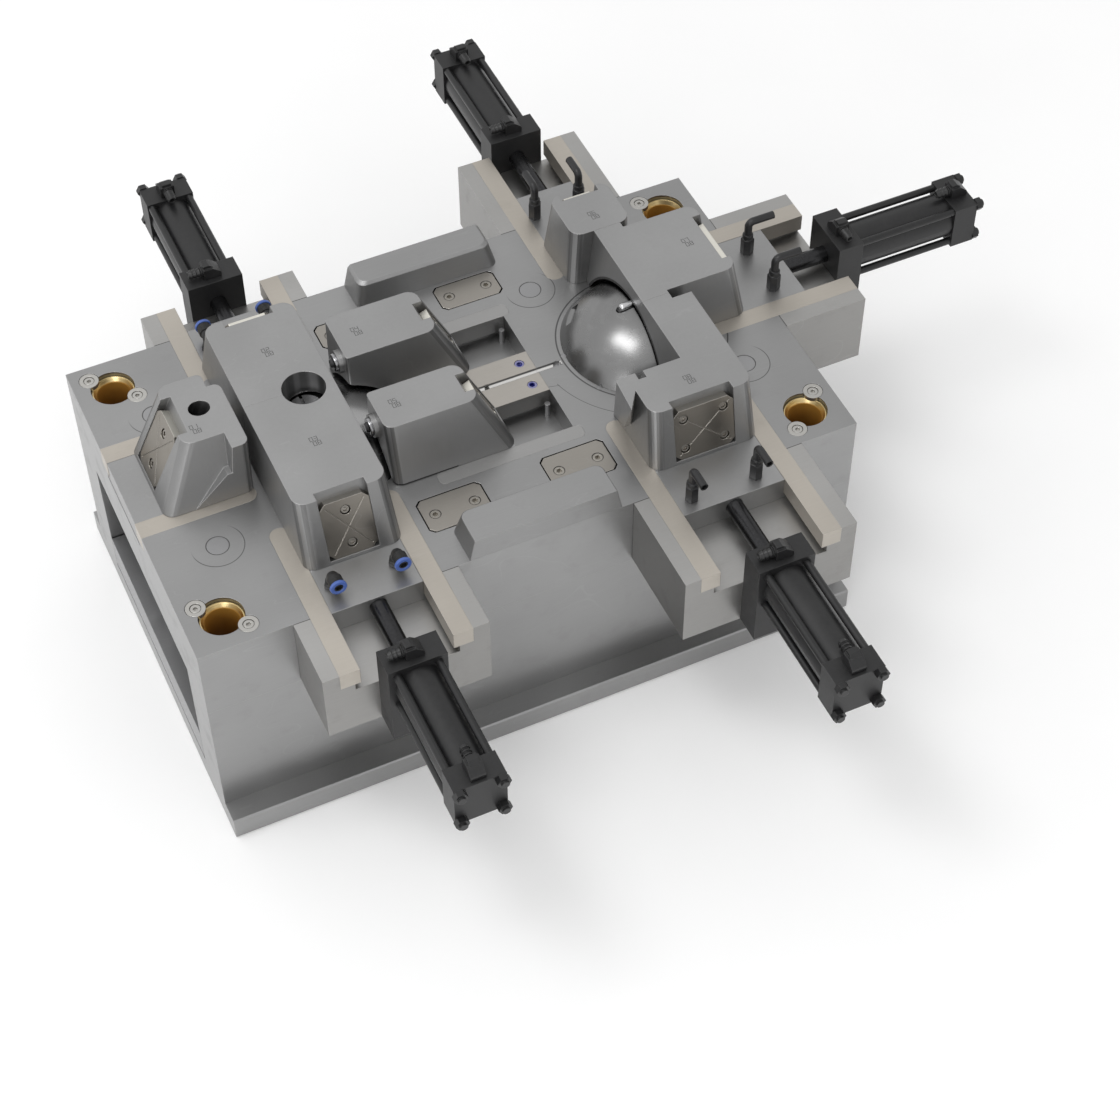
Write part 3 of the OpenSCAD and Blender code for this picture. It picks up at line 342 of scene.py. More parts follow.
def runner_highlight_and_shade(finish, x, y, z, paint):
    """A painted highlight down the runner groove, with painted shade along its two edges."""
    side = abs(y - runner_y)
    there = (x > -0.050) * (x < 0.117) * (z > 0.2660)
    # Painted highlight down the middle of the runner groove.
    groove_highlight = side.rise(0.0022, 0.0026, 1.0, 0.0) * there * 0.85
    paint = finish.blend(groove_highlight, paint, (0.80, 0.79, 0.77))
    # Painted shade along the groove's two edges.
    return finish.blend(
        line(side - 0.0030, 0.0001, 0.0006) * there * 0.8, paint, (0.10, 0.10, 0.10)
    )


plate_grey = (0.350, 0.350, 0.350)
core_plate_steel = steel(
    "core_plate_steel", plate_grey, 0.36, marks=core_plate_lines_and_shade, shade=runner_highlight_and_shade
)
dress(core_plate_steel, "core_plate")
dress(steel("ground_plate_steel", plate_grey, 0.36), "clamp_plate", "spacer_blocks")
interlock_steel = steel("interlock_steel", times(plate_grey, 0.96), 0.44, edge=0.0012, glint=0.1)
dress(interlock_steel, "raised_interlocks")
ejector_steel = steel("ejector_plate_steel", (0.34, 0.34, 0.345), 0.40)
dress(ejector_steel, "ejector_plate", "retainer_plate")
turned_steel = steel(
    "turned_pillar_steel", (0.38, 0.38, 0.38), 0.32, lines=(700.0, 700.0, 60.0)
)
dress(turned_steel, "support_pillars", "stop_buttons")


# Track brackets and gibs
# Milled blocks bolted to the mould's sides carry the long slide tracks, a little warmer in tone.
# The gibs, the runner plate and the pads are hardened steel with a pale tan cast.
def bracket_joint(x, y, z):
    """The joint line where a bracket meets the core plate's side."""
    side = line(abs(y) - 0.2003, 0.0004, 0.0008)
    end = line(x - 0.3503, 0.0004, 0.0008)
    return side | end


def bracket_side_shade(finish, x, y, z, paint):
    """Painted shade: the sawn and milled sides are darker than the ground tops."""
    _, _, up = finish.facing()
    return finish.blend(up.rise(0.4, 0.9, 0.28, 0.0), paint, (0.05, 0.045, 0.04))


bracket_steel = steel(
    "bracket_steel", (0.425, 0.42, 0.41), 0.38, marks=bracket_joint, shade=bracket_side_shade, warm=0.02
)
dress(
    bracket_steel,
    "bracket_front_left", "bracket_front_right", "bracket_right", "bracket_back_left",
    "bracket_back_right",
)


def inner_strips(finish, x, y, z, paint):
    """The inner slides' strips and the gib end behind slide 2 take the plate's grey."""
    inner = (abs(x - 0.02) < 0.085) * (abs(y) < 0.110)
    away = distance(x + 0.1030, y - 0.1960)
    hidden_end = (away > 0.0095) * (y < 0.1960) * (y > 0.05) * (abs(x + 0.11) < 0.03)
    return finish.blend((inner | hidden_end) * 0.92, paint, plate_grey)


def runner_top(finish, x, y, z, paint):
    """Only the top of the runner plate has the tan cast; its sides get a darker grey as painted
    shade.
    """
    # Painted shade: the runner plate's sides are laid on in a darker grey.
    side_shade = z.rise(0.2690, 0.2697, 0.8, 0.0)
    return runner_highlight_and_shade(finish, x, y, z, finish.blend(side_shade, paint, times(plate_grey, 0.7)))


def pad_rings(x, y, z):
    """The shadow line round each screw in the parting pads."""
    screw_radius, half_pitch = 0.0055, 0.021
    cut_and_shade = None
    for pad_x, pad_y, _ in parting_pads:
        away = distance(abs(x - pad_x) - half_pitch, y - pad_y)
        ring = line(away - screw_radius, 0.0003, 0.0008)
        cut_and_shade = ring if cut_and_shade is None else cut_and_shade | ring
    return cut_and_shade


gib_steel = steel(
    "hardened_gib_strip", (0.49, 0.455, 0.405), 0.42, shade=inner_strips, warm=0.04, metal=0.85
)
dress(gib_steel, "slide_gibs")
runner_steel = steel(
    "hardened_runner_plate", (0.45, 0.425, 0.39), 0.36, shade=runner_top, warm=0.04, metal=0.85
)
dress(runner_steel, "runner_plate")
pad_steel = steel(
    "hardened_parting_pad", (0.355, 0.335, 0.305), 0.36, edge=0.0012, marks=pad_rings, warm=0.05,
    glint=0.5,
)
dress(pad_steel, "parting_pads")


# Slides
# Eight hardened blocks that close round the cores. The sides are milled with a ball cutter and
# blended by hand, which leaves faint vertical tool lines, and the tops are ground like the plates.
# The sides are painted darker as shade, with a soft painted shade band and a painted highlight
# band round each corner.
slide_top = 0.340
left_dome = (-0.140, 0.005, 0.2039)
angle_pin = (-0.256, 0.0344, slide_top)
angle_lean = math.radians(24.0)


def slide_shade_and_highlight(finish, x, y, z, paint):
    """Painted shade on the sides, darker than the tops, and painted shade and highlight bands per
    corner.
    """
    face_x, face_y, up = finish.facing()
    inner = (abs(x + 0.02) < 0.09) * (abs(y) < 0.10)
    # Painted shade on the upright faces, less on the inner slides.
    side = up.rise(0.55, 0.9, 0.20, 0.0) * (z > parting_plane + 0.0002) * (1.0 - inner * 0.8)
    paint = finish.blend(side, paint, (0.0, 0.0, 0.0))
    corner = abs(face_x * face_y) * 2.0
    upright = up.rise(0.3, 0.6, 1.0, 0.0)
    # Painted shade in a band beside each upright corner.
    corner_shade = corner.rise(0.12, 0.40) * corner.rise(0.72, 0.95, 1.0, 0.0) * upright
    paint = finish.blend(corner_shade * 0.42, paint, (0.03, 0.03, 0.03))
    # Painted highlight down the middle of each rounded corner.
    return finish.blend(corner.rise(0.88, 0.99) * upright * 0.25, paint, (0.8, 0.8, 0.8))


def cavity_shade(x, y, z):
    """Little light reaches the two cavities and the gap under the front inner slide."""
    right = distance(x - right_dome[0], y - right_dome[1], z - right_dome[2])
    left = distance(x - left_dome[0], y - left_dome[1], z - left_dome[2])
    under = (z < 0.2716) * (x < -0.035) * (x > -0.110) * (y < -0.060) * (y > -0.090)
    shaded = (right < 0.1032) * (x < 0.200) | (left < 0.1120) * 0.35 | under
    return shaded * (z > parting_plane + 0.0001) * 1.25


def angle_hole_shade(x, y, z):
    """Painted shade inside the leaning bore for the angle pin."""
    from_x, from_z = x - angle_pin[0], z - angle_pin[2]
    along = from_x * math.sin(angle_lean) + from_z * math.cos(angle_lean)
    off_x = from_x - along * math.sin(angle_lean)
    off_z = from_z - along * math.cos(angle_lean)
    away = distance(off_x, off_z, y - angle_pin[1])
    return (away < 0.0103) * (z < slide_top - 0.0008) * 0.9


slide_tone = (0.350, 0.350, 0.350)
milled_look = {
    "edge": 0.0012, "lines": (260.0, 260.0, 14.0), "shade": slide_shade_and_highlight, "wear": 0.06,
    "metal": 0.86, "glint": 0.2,
}
dress(
    steel("slide_steel", slide_tone, 0.37, marks=cavity_shade, **milled_look),
    "slide_2_back_left", "slide_3_front_left", "slide_4_inner_back", "slide_5_inner_front",
    "slide_6_back_right", "slide_7_right", "slide_8_front_right",
)
wedge_steel = steel("wedge_slide_steel", slide_tone, 0.40, marks=angle_hole_shade, **milled_look)
dress(wedge_steel, "slide_1_wedge")


# Wear plates
# Brown hardened plates let into the sloping faces, where the other half's wedges rub. Each has
# a crossed oil groove with a painted highlight on its edges, and socket screws in counterbores.
# Their upper edges carry a painted highlight too.
def wear_rim_highlight(finish, x, y, z, paint):
    """A painted highlight on the plates' upper edges, brighter on the front plates."""
    _, _, up = finish.facing()
    rim_highlight = finish.blend(y < -0.1, (0.80, 0.78, 0.71), (0.46, 0.44, 0.40))
    return finish.blend(up.rise(0.80, 0.86, 0.0, 0.85), paint, rim_highlight)


wear_steel = steel(
    "wear_plate_steel", (0.265, 0.246, 0.218), 0.32, edge=0.0009, shade=wear_rim_highlight, warm=0.05,
    wear=0.12, glint=0.4,
)
dress(wear_steel, *["wear_plate_%d" % number for number in range(1, 9)])


def new_piece(name, mesh_maker, finish, body, smooth=40.0):
    """Links a piece made in mesh code, gives it its finish and its body."""
    shape = bmesh.new()
    mesh_maker(shape)
    bmesh.ops.recalc_face_normals(shape, faces=shape.faces)
    mesh = bpy.data.meshes.new(name)
    shape.to_mesh(mesh)
    shape.free()
    mesh.materials.append(finish)
    for face in mesh.polygons:
        face.use_smooth = True
    mesh.set_sharp_from_angle(angle=math.radians(smooth))
    piece = bpy.data.objects.new(name, mesh)
    bpy.context.scene.collection.objects.link(piece)
    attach(piece, body)
    return piece


def skin(shape, rings):
    """Closes a solid: faces from each ring of points to the next, and a cap on both ends."""
    for low, high in zip(rings, rings[1:]):
        for k in range(len(low)):
            after = (k + 1) % len(low)
            shape.faces.new((low[k], low[after], high[after], high[k]))
    shape.faces.new(rings[0])
    shape.faces.new(rings[-1])


def lathe(shape, where, profile, sides=28, flat=()):
    """Turns a profile of (radius, height) round local Z; flat lists the rings with six sides."""
    rings = []
    for step, (radius, height) in enumerate(profile):
        ring = []
        for k in range(sides):
            turn = 2.0 * math.pi * k / sides
            reach = radius
            if step in flat:
                reach = radius / math.cos((turn % (math.pi / 3.0)) - math.pi / 6.0)
            point = Vector((reach * math.cos(turn), reach * math.sin(turn), height))
            ring.append(shape.verts.new(where @ point))
        rings.append(ring)
    skin(shape, rings)


def along_y(where, across, out, up):
    """A frame set on a piece, with its Z axis along the piece's own Y."""
    turn = Matrix.Rotation(-math.pi / 2.0, 4, "X")
    return where @ Matrix.Translation((across, out, up)) @ turn


def track(x, y, turn):
    """A slide track's frame: local Y points outward along it, Z up from the parting plane."""
    turned = Matrix.Rotation(math.radians(turn), 4, "Z")
    return Matrix.Translation((x, y, parting_plane)) @ turned


slide_high = 0.070
slide_tracks = {
    1: track(0.0, 0.024, 90), 2: track(-0.170, 0.0, 0), 3: track(-0.170, 0.0, 180),
    4: track(0.0, 0.0595, -90), 5: track(0.0, -0.0555, -90), 6: track(0.208, 0.0, 0),
    7: track(0.0, 0.0385, -90), 8: track(0.194, 0.0, 180),
}
wear_places = {
    1: (0.011, 0.3210, 0.0345, 0.051), 2: (0.0, 0.1600, 0.024, 0.051),
    3: (0.0, 0.1485, 0.024, 0.051), 4: (-0.006, 0.0295, 0.033, 0.025),
    5: (-0.0125, 0.0295, 0.033, 0.025), 6: (0.0, 0.1745, 0.014, 0.042),
    7: (0.0, 0.3225, 0.014, 0.068), 8: (0.0, 0.1745, 0.014, 0.066),
}
screw_radius, screw_high, screw_rim = 0.0045, 0.0032, 0.00054
socket_radius, socket_deep = 0.0022, 0.0022
screw_head = [
    (screw_radius, -screw_high), (screw_radius, -screw_rim), (screw_radius - screw_rim, 0.0),
    (socket_radius * 1.12, 0.0), (socket_radius, -0.0003), (socket_radius, -socket_deep),
    (0.0004, -socket_deep - 0.0003),
]
screw_steel = steel("screw_steel", (0.36, 0.34, 0.31), 0.30, edge=0.0003, warm=0.04)
for number, (face_x, face_y, lean, width) in wear_places.items():
    leaning = Matrix.Rotation(math.atan2(lean, slide_high), 4, "X")
    face_frame = slide_tracks[number] @ Matrix.Translation((face_x, face_y, 0.0)) @ leaning
    plate_high = math.hypot(lean, slide_high) - 0.0122
    columns = (0.33, -0.33) if number > 6 else (0.0,)
    spots = [(across, up) for up in (0.3, -0.3) for across in columns]

    def wear_screws(shape):
        for across, up in spots:
            height = 0.0042 + plate_high / 2.0 + up * plate_high
            spot = along_y(face_frame, across * (width - 0.0004), -0.0022, height)
            lathe(shape, spot, screw_head, sides=24, flat=(4, 5))

    new_piece(
        "wear_screws_%d" % number, wear_screws, screw_steel, "slide_%d" % number
    )


# Slide numbers
# Each slide's number, and below it how many slides there are, is scribed into its ground top in
# thin dark lines.
strokes = {
    "a": ((0, 1), (0.6, 1)), "b": ((0.6, 1), (0.6, 0.5)), "c": ((0.6, 0.5), (0.6, 0)),
    "d": ((0.6, 0), (0, 0)), "e": ((0, 0), (0, 0.5)), "f": ((0, 0.5), (0, 1)),
    "g": ((0, 0.5), (0.6, 0.5)),
}
digits = {
    0: "abcdef", 1: "bc", 2: "abged", 3: "abgcd", 4: "fgbc", 5: "afgcd", 6: "afgedc", 7: "abc",
    8: "abcdefg",
}
digit_high = 0.0050
stroke_half = 0.00032
stroke_low, stroke_top = slide_top - 0.00004, slide_top + 0.00003
upper_row, lower_row = 0.0006, -0.0058
number_places = {
    1: (-0.2687, 0.0102), 2: (-0.1695, 0.0772), 3: (-0.1694, -0.0533), 4: (-0.0788, 0.0668),
    5: (-0.0816, -0.0396), 6: (0.2073, 0.1185), 7: (0.2777, 0.0411), 8: (0.1928, -0.1324),
}
scribed = Finish(bpy.data.materials.new("scribed_line"))
scribed_where, *_ = scribed.place()
scribed_grain = scribed.noise(scribed_where, 900.0)
scribed_paint = scribed.blend(scribed_grain, (0.05, 0.05, 0.05), (0.16, 0.16, 0.16))
scribed_line = scribed.surface(scribed_paint, 0.6)
for number, (mid_x, mid_y) in number_places.items():

    def number_lines(shape):
        for shift, row, digit in (
            (-0.0044, upper_row, 0), (0.0002, upper_row, number),
            (-0.0026, lower_row, 0), (0.0020, lower_row, 8),
        ):
            corner = Vector((mid_x + shift, mid_y + row, 0.0))
            for name in digits[digit]:
                start, end = (
                    corner + Vector((*point, 0.0)) * digit_high for point in strokes[name]
                )
                along = (end - start).normalized() * stroke_half
                across = Vector((-along.y, along.x, 0.0))
                outline = (start - along - across, end + along - across,
                           end + along + across, start - along + across)
                skin(shape, [
                    [shape.verts.new((point.x, point.y, level)) for point in outline]
                    for level in (stroke_low, stroke_top)
                ])

    new_piece(
        "slide_number_%d" % number, number_lines, scribed_line, "slide_%d" % number
    )


# Cores
# The domes form the inside of the tank. They are turned, ground and polished by hand with felt
# and paste, so they mirror the room softly, with faint swirls.
def polished(name, tone, shine, marks=None):
    """Hand polished steel with faint swirls; marks gives where painted shade darkens it."""
    finish = Finish(bpy.data.materials.new(name))
    where, x, y, z = finish.place()
    swirl = finish.noise(where, 60.0, stretch=(1.0, 1.0, 3.0), detail=4.0)
    haze = finish.noise(where, 11.0, detail=3.0, seed=2.0).rise(0.35, 0.7)
    paint = finish.blend(haze * 0.10, tone, times(tone, 0.9))
    paint = finish.blend(swirl.rise(0.45, 0.8) * 0.05, paint, (0.8, 0.8, 0.8))
    if marks is not None:
        paint = finish.blend(marks(x, y, z), paint, (0.02, 0.02, 0.02))
    gloss = haze * 0.02 + swirl * 0.03 + shine
    relief = finish.bump(swirl, 0.012, 0.0003, finish.rounded(0.0006))
    return finish.surface(paint, gloss, 1.0, Normal=relief)


def under_slides_shade(x, y, z):
    """Painted shade on the right dome: dark at its parting line, less so where the slides cover it.
    """
    past = x - 0.1904 - (z - parting_plane) * 0.1143
    return (past > 0.0) * ((past < 0.0045) * 0.65 + 0.30)


for core, finish_name, core_tone, core_shine, core_marks in (
    ("right_core", "hand_polished_right_core", (0.225, 0.225, 0.225), 0.25, under_slides_shade),
    # The left dome's lighter tone is painted light, lifting it where it sits in the slides' shade.
    ("left_core", "hand_polished_left_core", (0.46, 0.46, 0.46), 0.24, None),
    ("neck_core", "neck_core_steel", (0.34, 0.34, 0.345), 0.24, None),
    ("port_pin", "polished_pin", (0.62, 0.62, 0.63), 0.12, None),
):
    dress(polished(finish_name, core_tone, core_shine, core_marks), core)


# Nozzle rings on the inner slides
# The two inner slides end in turned and chromed rings that form the tank's hose nozzles over the
# left dome. Each is pressed onto a round boss on the slide's nose.
def nozzle_shadow(x, y, z):
    """The rings' lower halves stand in the narrow gap between the slides."""
    return z.rise(0.3120, 0.3230, 0.93, 0.0)


nozzle_profile = [
    (0.0096, 0.0048), (0.0096, 0.0058), (0.0093, 0.0061), (0.0093, 0.0076), (0.0089, 0.0083),
    (0.0062, 0.0085), (0.0058, 0.0090), (0.0052, 0.0098), (0.0043, 0.0113), (0.0004, 0.0115),
]
nozzle_start = -0.102
chrome = polished("chromed_nozzle", (0.34, 0.34, 0.35), 0.12, marks=nozzle_shadow)
for number, across, up in ((4, 0.006, 0.050), (5, -0.017, 0.047)):
    inward = Matrix.Rotation(math.pi / 2.0, 4, "X")
    nozzle_frame = slide_tracks[number] @ Matrix.Translation((across, nozzle_start, up)) @ inward

    def nozzle_rings(shape):
        lathe(shape, nozzle_frame, nozzle_profile, sides=48)

    new_piece(
        "nozzle_rings_%d" % number, nozzle_rings, chrome, "slide_%d" % number,
        30.0,
    )


# Guide bushes and their washers
# Bronze bushes, turned and reamed, with a bright gold collar and a bore painted brown and darker
# towards the bottom, as painted shade. Two flat washers with socket screws hold each one down.
bush_x, bush_y = 0.312, 0.162
bush_finish = Finish(bpy.data.materials.new("guide_bush_bronze"))
where, x, y, z = bush_finish.place()
bush_bore = distance(abs(x) - bush_x, abs(y) - bush_y).rise(0.0176, 0.0182, 1.0, 0.0)
bush_rings = bush_finish.noise(where, 1.0, stretch=(40.0, 40.0, 1600.0), detail=2.0)
bush_gold = bush_finish.blend(bush_rings.rise(0.3, 0.7), (0.66, 0.50, 0.24), (0.80, 0.64, 0.34))
# Painted shade: the bore's brown darkens towards the bottom.
bush_bore_shade = bush_finish.blend(z.rise(0.215, 0.262), (0.26, 0.115, 0.02), (0.50, 0.26, 0.05))
bush_paint = bush_finish.blend(bush_bore, bush_gold, bush_bore_shade)
bush_gloss = bush_rings * 0.12 + bush_bore * 0.15 + 0.24
bush_relief = bush_finish.bump(bush_rings, 0.12, 0.0002, bush_finish.rounded(0.0006))
bush_bronze = bush_finish.surface(
    bush_paint, bush_gloss, 1.0 - bush_bore * 0.65, Normal=bush_relief
)
dress(bush_bronze, "guide_bushes")

washer_pitch = 0.0275
washer_foot = 0.2650
washer_ways = [
    (-1, 1, -19, 20), (-1, 1, 19, -18.5), (-1, -1, -19, 19), (-1, -1, 20, -19),
    (1, 1, -18.5, 20), (1, 1, 19, -19), (1, -1, 19.5, 20), (1, -1, -18.5, -18.5),
]
washer_profile = [
    (0.0099, 0.0), (0.0100, 0.0002), (0.0100, 0.0046), (0.0098, 0.0048), (0.0058, 0.0048),
    (0.0056, 0.0042), (0.0056, 0.0030), (0.0051, 0.0030), (0.0051, 0.0041), (0.0049, 0.0043),
    (0.0022, 0.0043), (0.0020, 0.0040), (0.0020, 0.0018), (0.0002, 0.0016),
]
washer_steel = steel(
    "washer_steel", (0.50, 0.49, 0.465), 0.36, edge=0.0004, warm=0.03, metal=0.9
)


def washers(shape):
    for side_x, side_y, way_x, way_y in washer_ways:
        way = Vector((way_x, way_y, 0.0)).normalized() * washer_pitch
        at = Vector((side_x * bush_x, side_y * bush_y, washer_foot)) + way
        lathe(shape, Matrix.Translation(at), washer_profile, sides=48, flat=(10, 11, 12))


bush_washers = new_piece("bush_washers", washers, washer_steel, "mould", 30.0)
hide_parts("bush_retainers")


# Screws and pins set in the top
# Socket screws hold the pads and the runner plate; the two in the runner plate are blued. Return
# and ejector pins are ground rods that end flush with the parting face.
blued_x, blued_half = 0.0765, 0.0155
screw_finish = Finish(bpy.data.materials.new("pad_screws"))
where, x, y, z = screw_finish.place()
side = abs(y - runner_y)
blued = (x > 0.070) * (x < 0.083) * (side < 0.024)
# Painted shade in the blued screws' sockets.
blued_socket_shade = distance(x - blued_x, side - blued_half) < 0.0031
screw_grain = screw_finish.noise(where, 500.0, detail=3.0)
screw_paint = screw_finish.blend(screw_grain.rise(0.3, 0.7), (0.33, 0.31, 0.28), (0.42, 0.40, 0.36))
screw_paint = screw_finish.blend(blued * 0.85, screw_paint, (0.27, 0.27, 0.50))
screw_paint = screw_finish.blend(blued * blued_socket_shade * 0.9, screw_paint, (0.03, 0.04, 0.22))
pad_screws = screw_finish.surface(
    screw_paint, screw_grain * 0.12 + 0.26, 1.0, Normal=screw_finish.rounded(0.0004)
)
dress(pad_screws, "plate_screws")
pin_steel = steel(
    "ground_pin_steel", (0.35, 0.35, 0.355), 0.32, edge=0.0006, lines=(60.0, 60.0, 300.0)
)
dress(pin_steel, "ejector_pins", "pocket_pins")


# Hydraulic cylinders
# Five small tie-rod cylinders, painted satin black all over after assembly: square head and cap,
# a drawn barrel, four tie rods with nuts and a dark chromed piston rod.
def black_coat(name, tone, shine, grain=240.0, metal=0.0, edge=0.0008):
    """A black coat with fine grain, a little dust and paler corners."""
    finish = Finish(bpy.data.materials.new(name))
    where, *_ = finish.place()
    peel = finish.noise(where, grain, detail=4.0)
    dust = finish.noise(where, 26.0, detail=4.0, seed=4.0).rise(0.5, 0.8)
    rounded = finish.rounded(edge)
    corner = finish.corner(rounded).rise(0.02, 0.25)
    paint = finish.blend(peel.rise(0.3, 0.7), times(tone, 0.85), times(tone, 1.15))
    paint = finish.blend(dust * 0.04, paint, (0.16, 0.155, 0.15))
    paint = finish.blend(corner * 0.25, paint, (0.10, 0.10, 0.10))
    gloss = dust * 0.12 + peel * 0.10 + shine
    return finish.surface(paint, gloss, metal, Normal=finish.bump(peel, 0.10, 0.0003, rounded))


cylinder_sides = ("front_left", "front_right", "right", "back_left", "back_right")
dress(
    black_coat("satin_black_paint", (0.011, 0.011, 0.0115), 0.42),
    "cylinder_caps", *["cylinder_head_" + side for side in cylinder_sides],
)
dress(black_coat("black_barrel_paint", (0.010, 0.010, 0.0105), 0.34), "cylinder_barrels")
dress(black_coat("black_tie_rods", (0.009, 0.009, 0.0095), 0.30), "tie_rods")
dress(
    black_coat("black_piston_rod", (0.045, 0.045, 0.047), 0.20, metal=0.9, grain=500.0),
    *["piston_rod_" + side for side in cylinder_sides],
)


# Hose ports on the cylinders
# A blackened elbow screwed into each head and cap: a block with a sloped back, a raised part on
# it and a ribbed end that the hose is pushed over.
def prism(shape, where, outline, half):
    """Pushes an outline, points of (y, z), to both sides along local X."""
    skin(shape, [
        [shape.verts.new(where @ Vector((across, y, z))) for y, z in outline]
        for across in (-half, half)
    ])


port_block = [
    (-0.0095, 0.0), (0.0080, 0.0), (0.0085, 0.0006), (0.0085, 0.0125), (0.0078, 0.0132),
    (-0.0015, 0.0132), (-0.0093, 0.0068), (-0.0100, 0.0055), (-0.0100, 0.0008),
]
port_raised = [
    (-0.0024, 0.0100), (0.0080, 0.0100), (0.0080, 0.0160), (0.0074, 0.0166), (0.0016, 0.0166),
    (-0.0024, 0.0136),
]
hose_end = [(0.0052, 0.0082), (0.0056, 0.0090), (0.0056, 0.0108), (0.0042, 0.0112)]
for rib in (0.0116, 0.0158, 0.0200):
    hose_end += [
        (0.0042, rib), (0.0054, rib + 0.0003), (0.0052, rib + 0.0010), (0.0040, rib + 0.0038),
    ]
hose_end += [
    (0.0040, 0.0240), (0.0037, 0.0243), (0.0027, 0.0243), (0.0025, 0.0240), (0.0025, 0.0150),
    (0.0002, 0.0148),
]
head_starts = {3: (0.275, -90), 8: (0.314, -90), 7: (0.444, -90), 2: (0.244, 90), 6: (0.318, 90)}
head_port = (0.0145, 0.0175)
cap_port = (0.1580, 0.0140)


def hose_port(shape, number, out, up, turn):
    """One port fitting on a track's cylinder; turn is where its hose end points."""
    turned = Matrix.Rotation(math.radians(turn), 4, "Z")
    where = slide_tracks[number] @ Matrix.Translation((0.0, out, up)) @ turned
    prism(shape, where, port_block, 0.0078)
    prism(shape, where, port_raised, 0.0052)
    lathe(shape, along_y(where, 0.0, 0.0, 0.0068), hose_end, sides=28)


def hose_ports(shape):
    for number, (head_out, turn) in head_starts.items():
        hose_port(shape, number, head_out + head_port[0], head_port[1], turn)
        hose_port(shape, number, head_out + cap_port[0], cap_port[1], 180)


port_black = black_coat("blackened_port_fitting", (0.012, 0.012, 0.0125), 0.34)
ports = new_piece("hose_ports", hose_ports, port_black, "mould", 35.0)
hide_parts("port_fittings")


# Push-in elbows on the left slides
# A hexagon nut screwed into the slide carries a moulded black elbow with gripping ribs. A blue
# release collar round its mouth frees the hose when it is pressed.
def sweep(shape, where, path, sides=24, bore=0.0):
    """A round bar through points of (place, radius); a bore makes its far end hollow."""
    right = Vector((1.0, 0.0, 0.0))

    def ring(middle, up, radius):
        turns = [2.0 * math.pi * k / sides for k in range(sides)]
        return [
            shape.verts.new(where @ (middle + (right * math.cos(a) + up * math.sin(a)) * radius))
            for a in turns
        ]

    rings = []
    for step, (place, radius) in enumerate(path):
        before = Vector(path[max(step - 1, 0)][0])
        after = Vector(path[min(step + 1, len(path) - 1)][0])
        way = (after - before).normalized()
        up = right.cross(way).normalized()
        rings.append(ring(Vector(place), up, radius))
    if bore:
        for depth, reach in ((0.0, bore), (0.006, bore), (0.0062, 0.0003)):
            rings.append(ring(Vector(path[-1][0]) - way * depth, up, reach))
    skin(shape, rings)


def bend(radius, turn_radius, height, length):
    """Points of a pipe that stands up, turns over and runs out along local Y."""
    path = [((0.0, 0.0, 0.004), radius)]
    for k in range(9):
        a = math.pi / 2.0 * k / 8.0
        out = turn_radius * (1.0 - math.cos(a))
        up = height - turn_radius * (1.0 - math.sin(a))
        path.append(((0.0, out, up), radius))
    return path + [((0.0, length, height), radius)]


mouth_high = 0.0168
collar_out = 0.0150
elbow_nut = [
    (0.0072, -0.0002), (0.0076, 0.0004), (0.0076, 0.0052), (0.0070, 0.0058), (0.0064, 0.0060),
    (0.0064, 0.0072), (0.0050, 0.0074),
]
elbow_mouth = [(0.0060, 0.0050), (0.0070, 0.0056)]
for rib in (0.0058, 0.0076, 0.0094, 0.0112, 0.0130):
    elbow_mouth += [
        (0.0074, rib), (0.0074, rib + 0.0010), (0.0070, rib + 0.0012), (0.0070, rib + 0.0016),
    ]
elbow_mouth += [(0.0072, 0.0152), (0.0050, 0.0154)]
collar_bore = [
    (0.0044, 0.0008), (0.0044, 0.0031), (0.0041, 0.0033), (0.0033, 0.0033), (0.0031, 0.0028),
    (0.0031, -0.0030), (0.0003, -0.0031),
]
collar_ring = [
    (0.0060, 0.0001), (0.0080, 0.0002), (0.0085, 0.0008), (0.0085, 0.0028), (0.0080, 0.0035),
    (0.0052, 0.0036), (0.0045, 0.0030), (0.0045, 0.0006),
]
elbow_black = black_coat(
    "black_moulded_elbow", (0.010, 0.010, 0.0105), 0.30, grain=700.0, edge=0.0004
)
collar_finish = Finish(bpy.data.materials.new("blue_release_collar"))
collar_where, *_ = collar_finish.place()
collar_grain = collar_finish.noise(collar_where, 700.0, detail=2.0)
collar_paint = collar_finish.blend(collar_grain, (0.05, 0.10, 0.34), (0.075, 0.14, 0.43))
collar_blue = collar_finish.surface(collar_paint, collar_grain * 0.10 + 0.28)
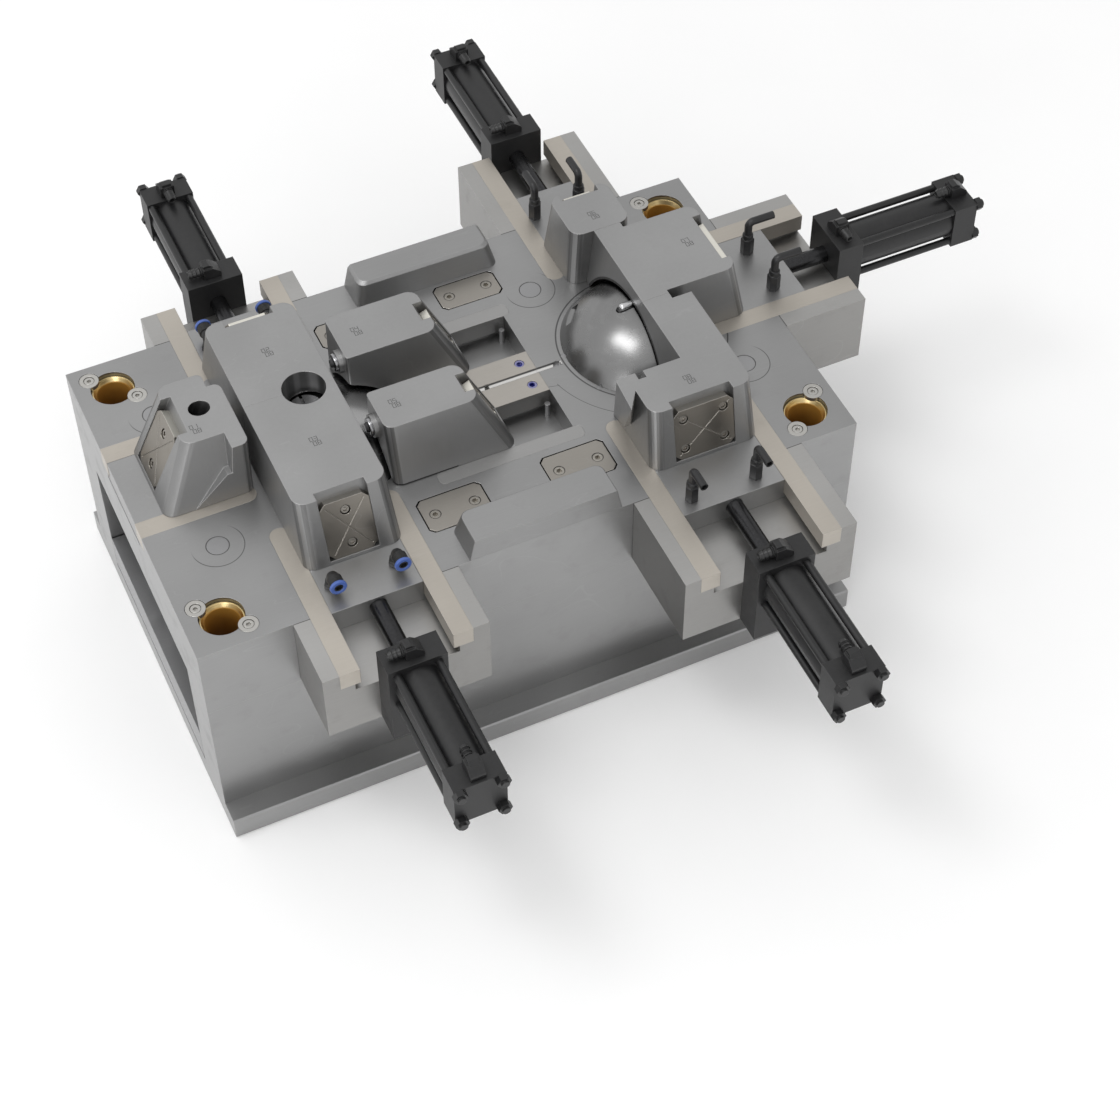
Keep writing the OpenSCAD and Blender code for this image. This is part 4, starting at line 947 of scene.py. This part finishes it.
for side, number, out in (("back_left", 2, 0.173), ("front_left", 3, 0.172)):
    spots = [
        slide_tracks[number] @ Matrix.Translation((across, out, 0.0)) for across in (-0.033, 0.033)
    ]

    def elbows(shape):
        for spot in spots:
            lathe(shape, spot, elbow_nut, sides=24, flat=(0, 1, 2, 3))
            sweep(shape, spot, bend(0.0060, 0.0062, mouth_high, 0.0066))
            lathe(shape, along_y(spot, 0.0, 0.0, mouth_high), elbow_mouth, sides=32)
            lathe(shape, along_y(spot, 0.0, collar_out, mouth_high), collar_bore, sides=28)

    def collars(shape):
        for spot in spots:
            lathe(shape, along_y(spot, 0.0, collar_out, mouth_high), collar_ring, sides=36)

    body = "slide_%d" % number
    for name, maker, finish in (
        ("elbows_", elbows, elbow_black), ("release_collars_", collars, collar_blue),
    ):
        piece = new_piece(name + side, maker, finish, body, 35.0)
        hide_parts("fittings_" + side)


# Bent tubes on the right slides
# A long hexagon nipple screwed into the slide, a ferrule and a short bent tube, all blackened.
# The tube's end is open for the hose.
nipple_high = 0.0180
nipple = [
    (0.0058, -0.0002), (0.0062, 0.0006), (0.0062, 0.0190), (0.0058, 0.0198), (0.0054, 0.0200),
    (0.0050, 0.0206), (0.0058, 0.0212), (0.0058, 0.0250), (0.0052, 0.0260), (0.0042, 0.0262),
]
tube_black = black_coat("black_bent_tube", (0.012, 0.012, 0.013), 0.32, grain=500.0, edge=0.0004)
for side, number, shift, half, out, length in (
    ("back_right", 6, 0.0, 0.026, 0.211, 0.024), ("right", 7, 0.0028, 0.030, 0.364, 0.029),
    ("front_right", 8, 0.0037, 0.0353, 0.219, 0.024),
):

    def tubes(shape):
        for way in (-1.0, 1.0):
            spot = slide_tracks[number] @ Matrix.Translation((shift + way * half, out, 0.0))
            lathe(shape, spot, nipple, sides=24, flat=(0, 1, 2, 3))
            top = spot @ Matrix.Translation((0.0, 0.0, nipple_high))
            sweep(shape, top, bend(0.0042, 0.0056, 0.0240, length), sides=20, bore=0.0028)

    body = "slide_%d" % number
    piece = new_piece("bent_tubes_" + side, tubes, tube_black, body, 35.0)
    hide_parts("fittings_" + side)
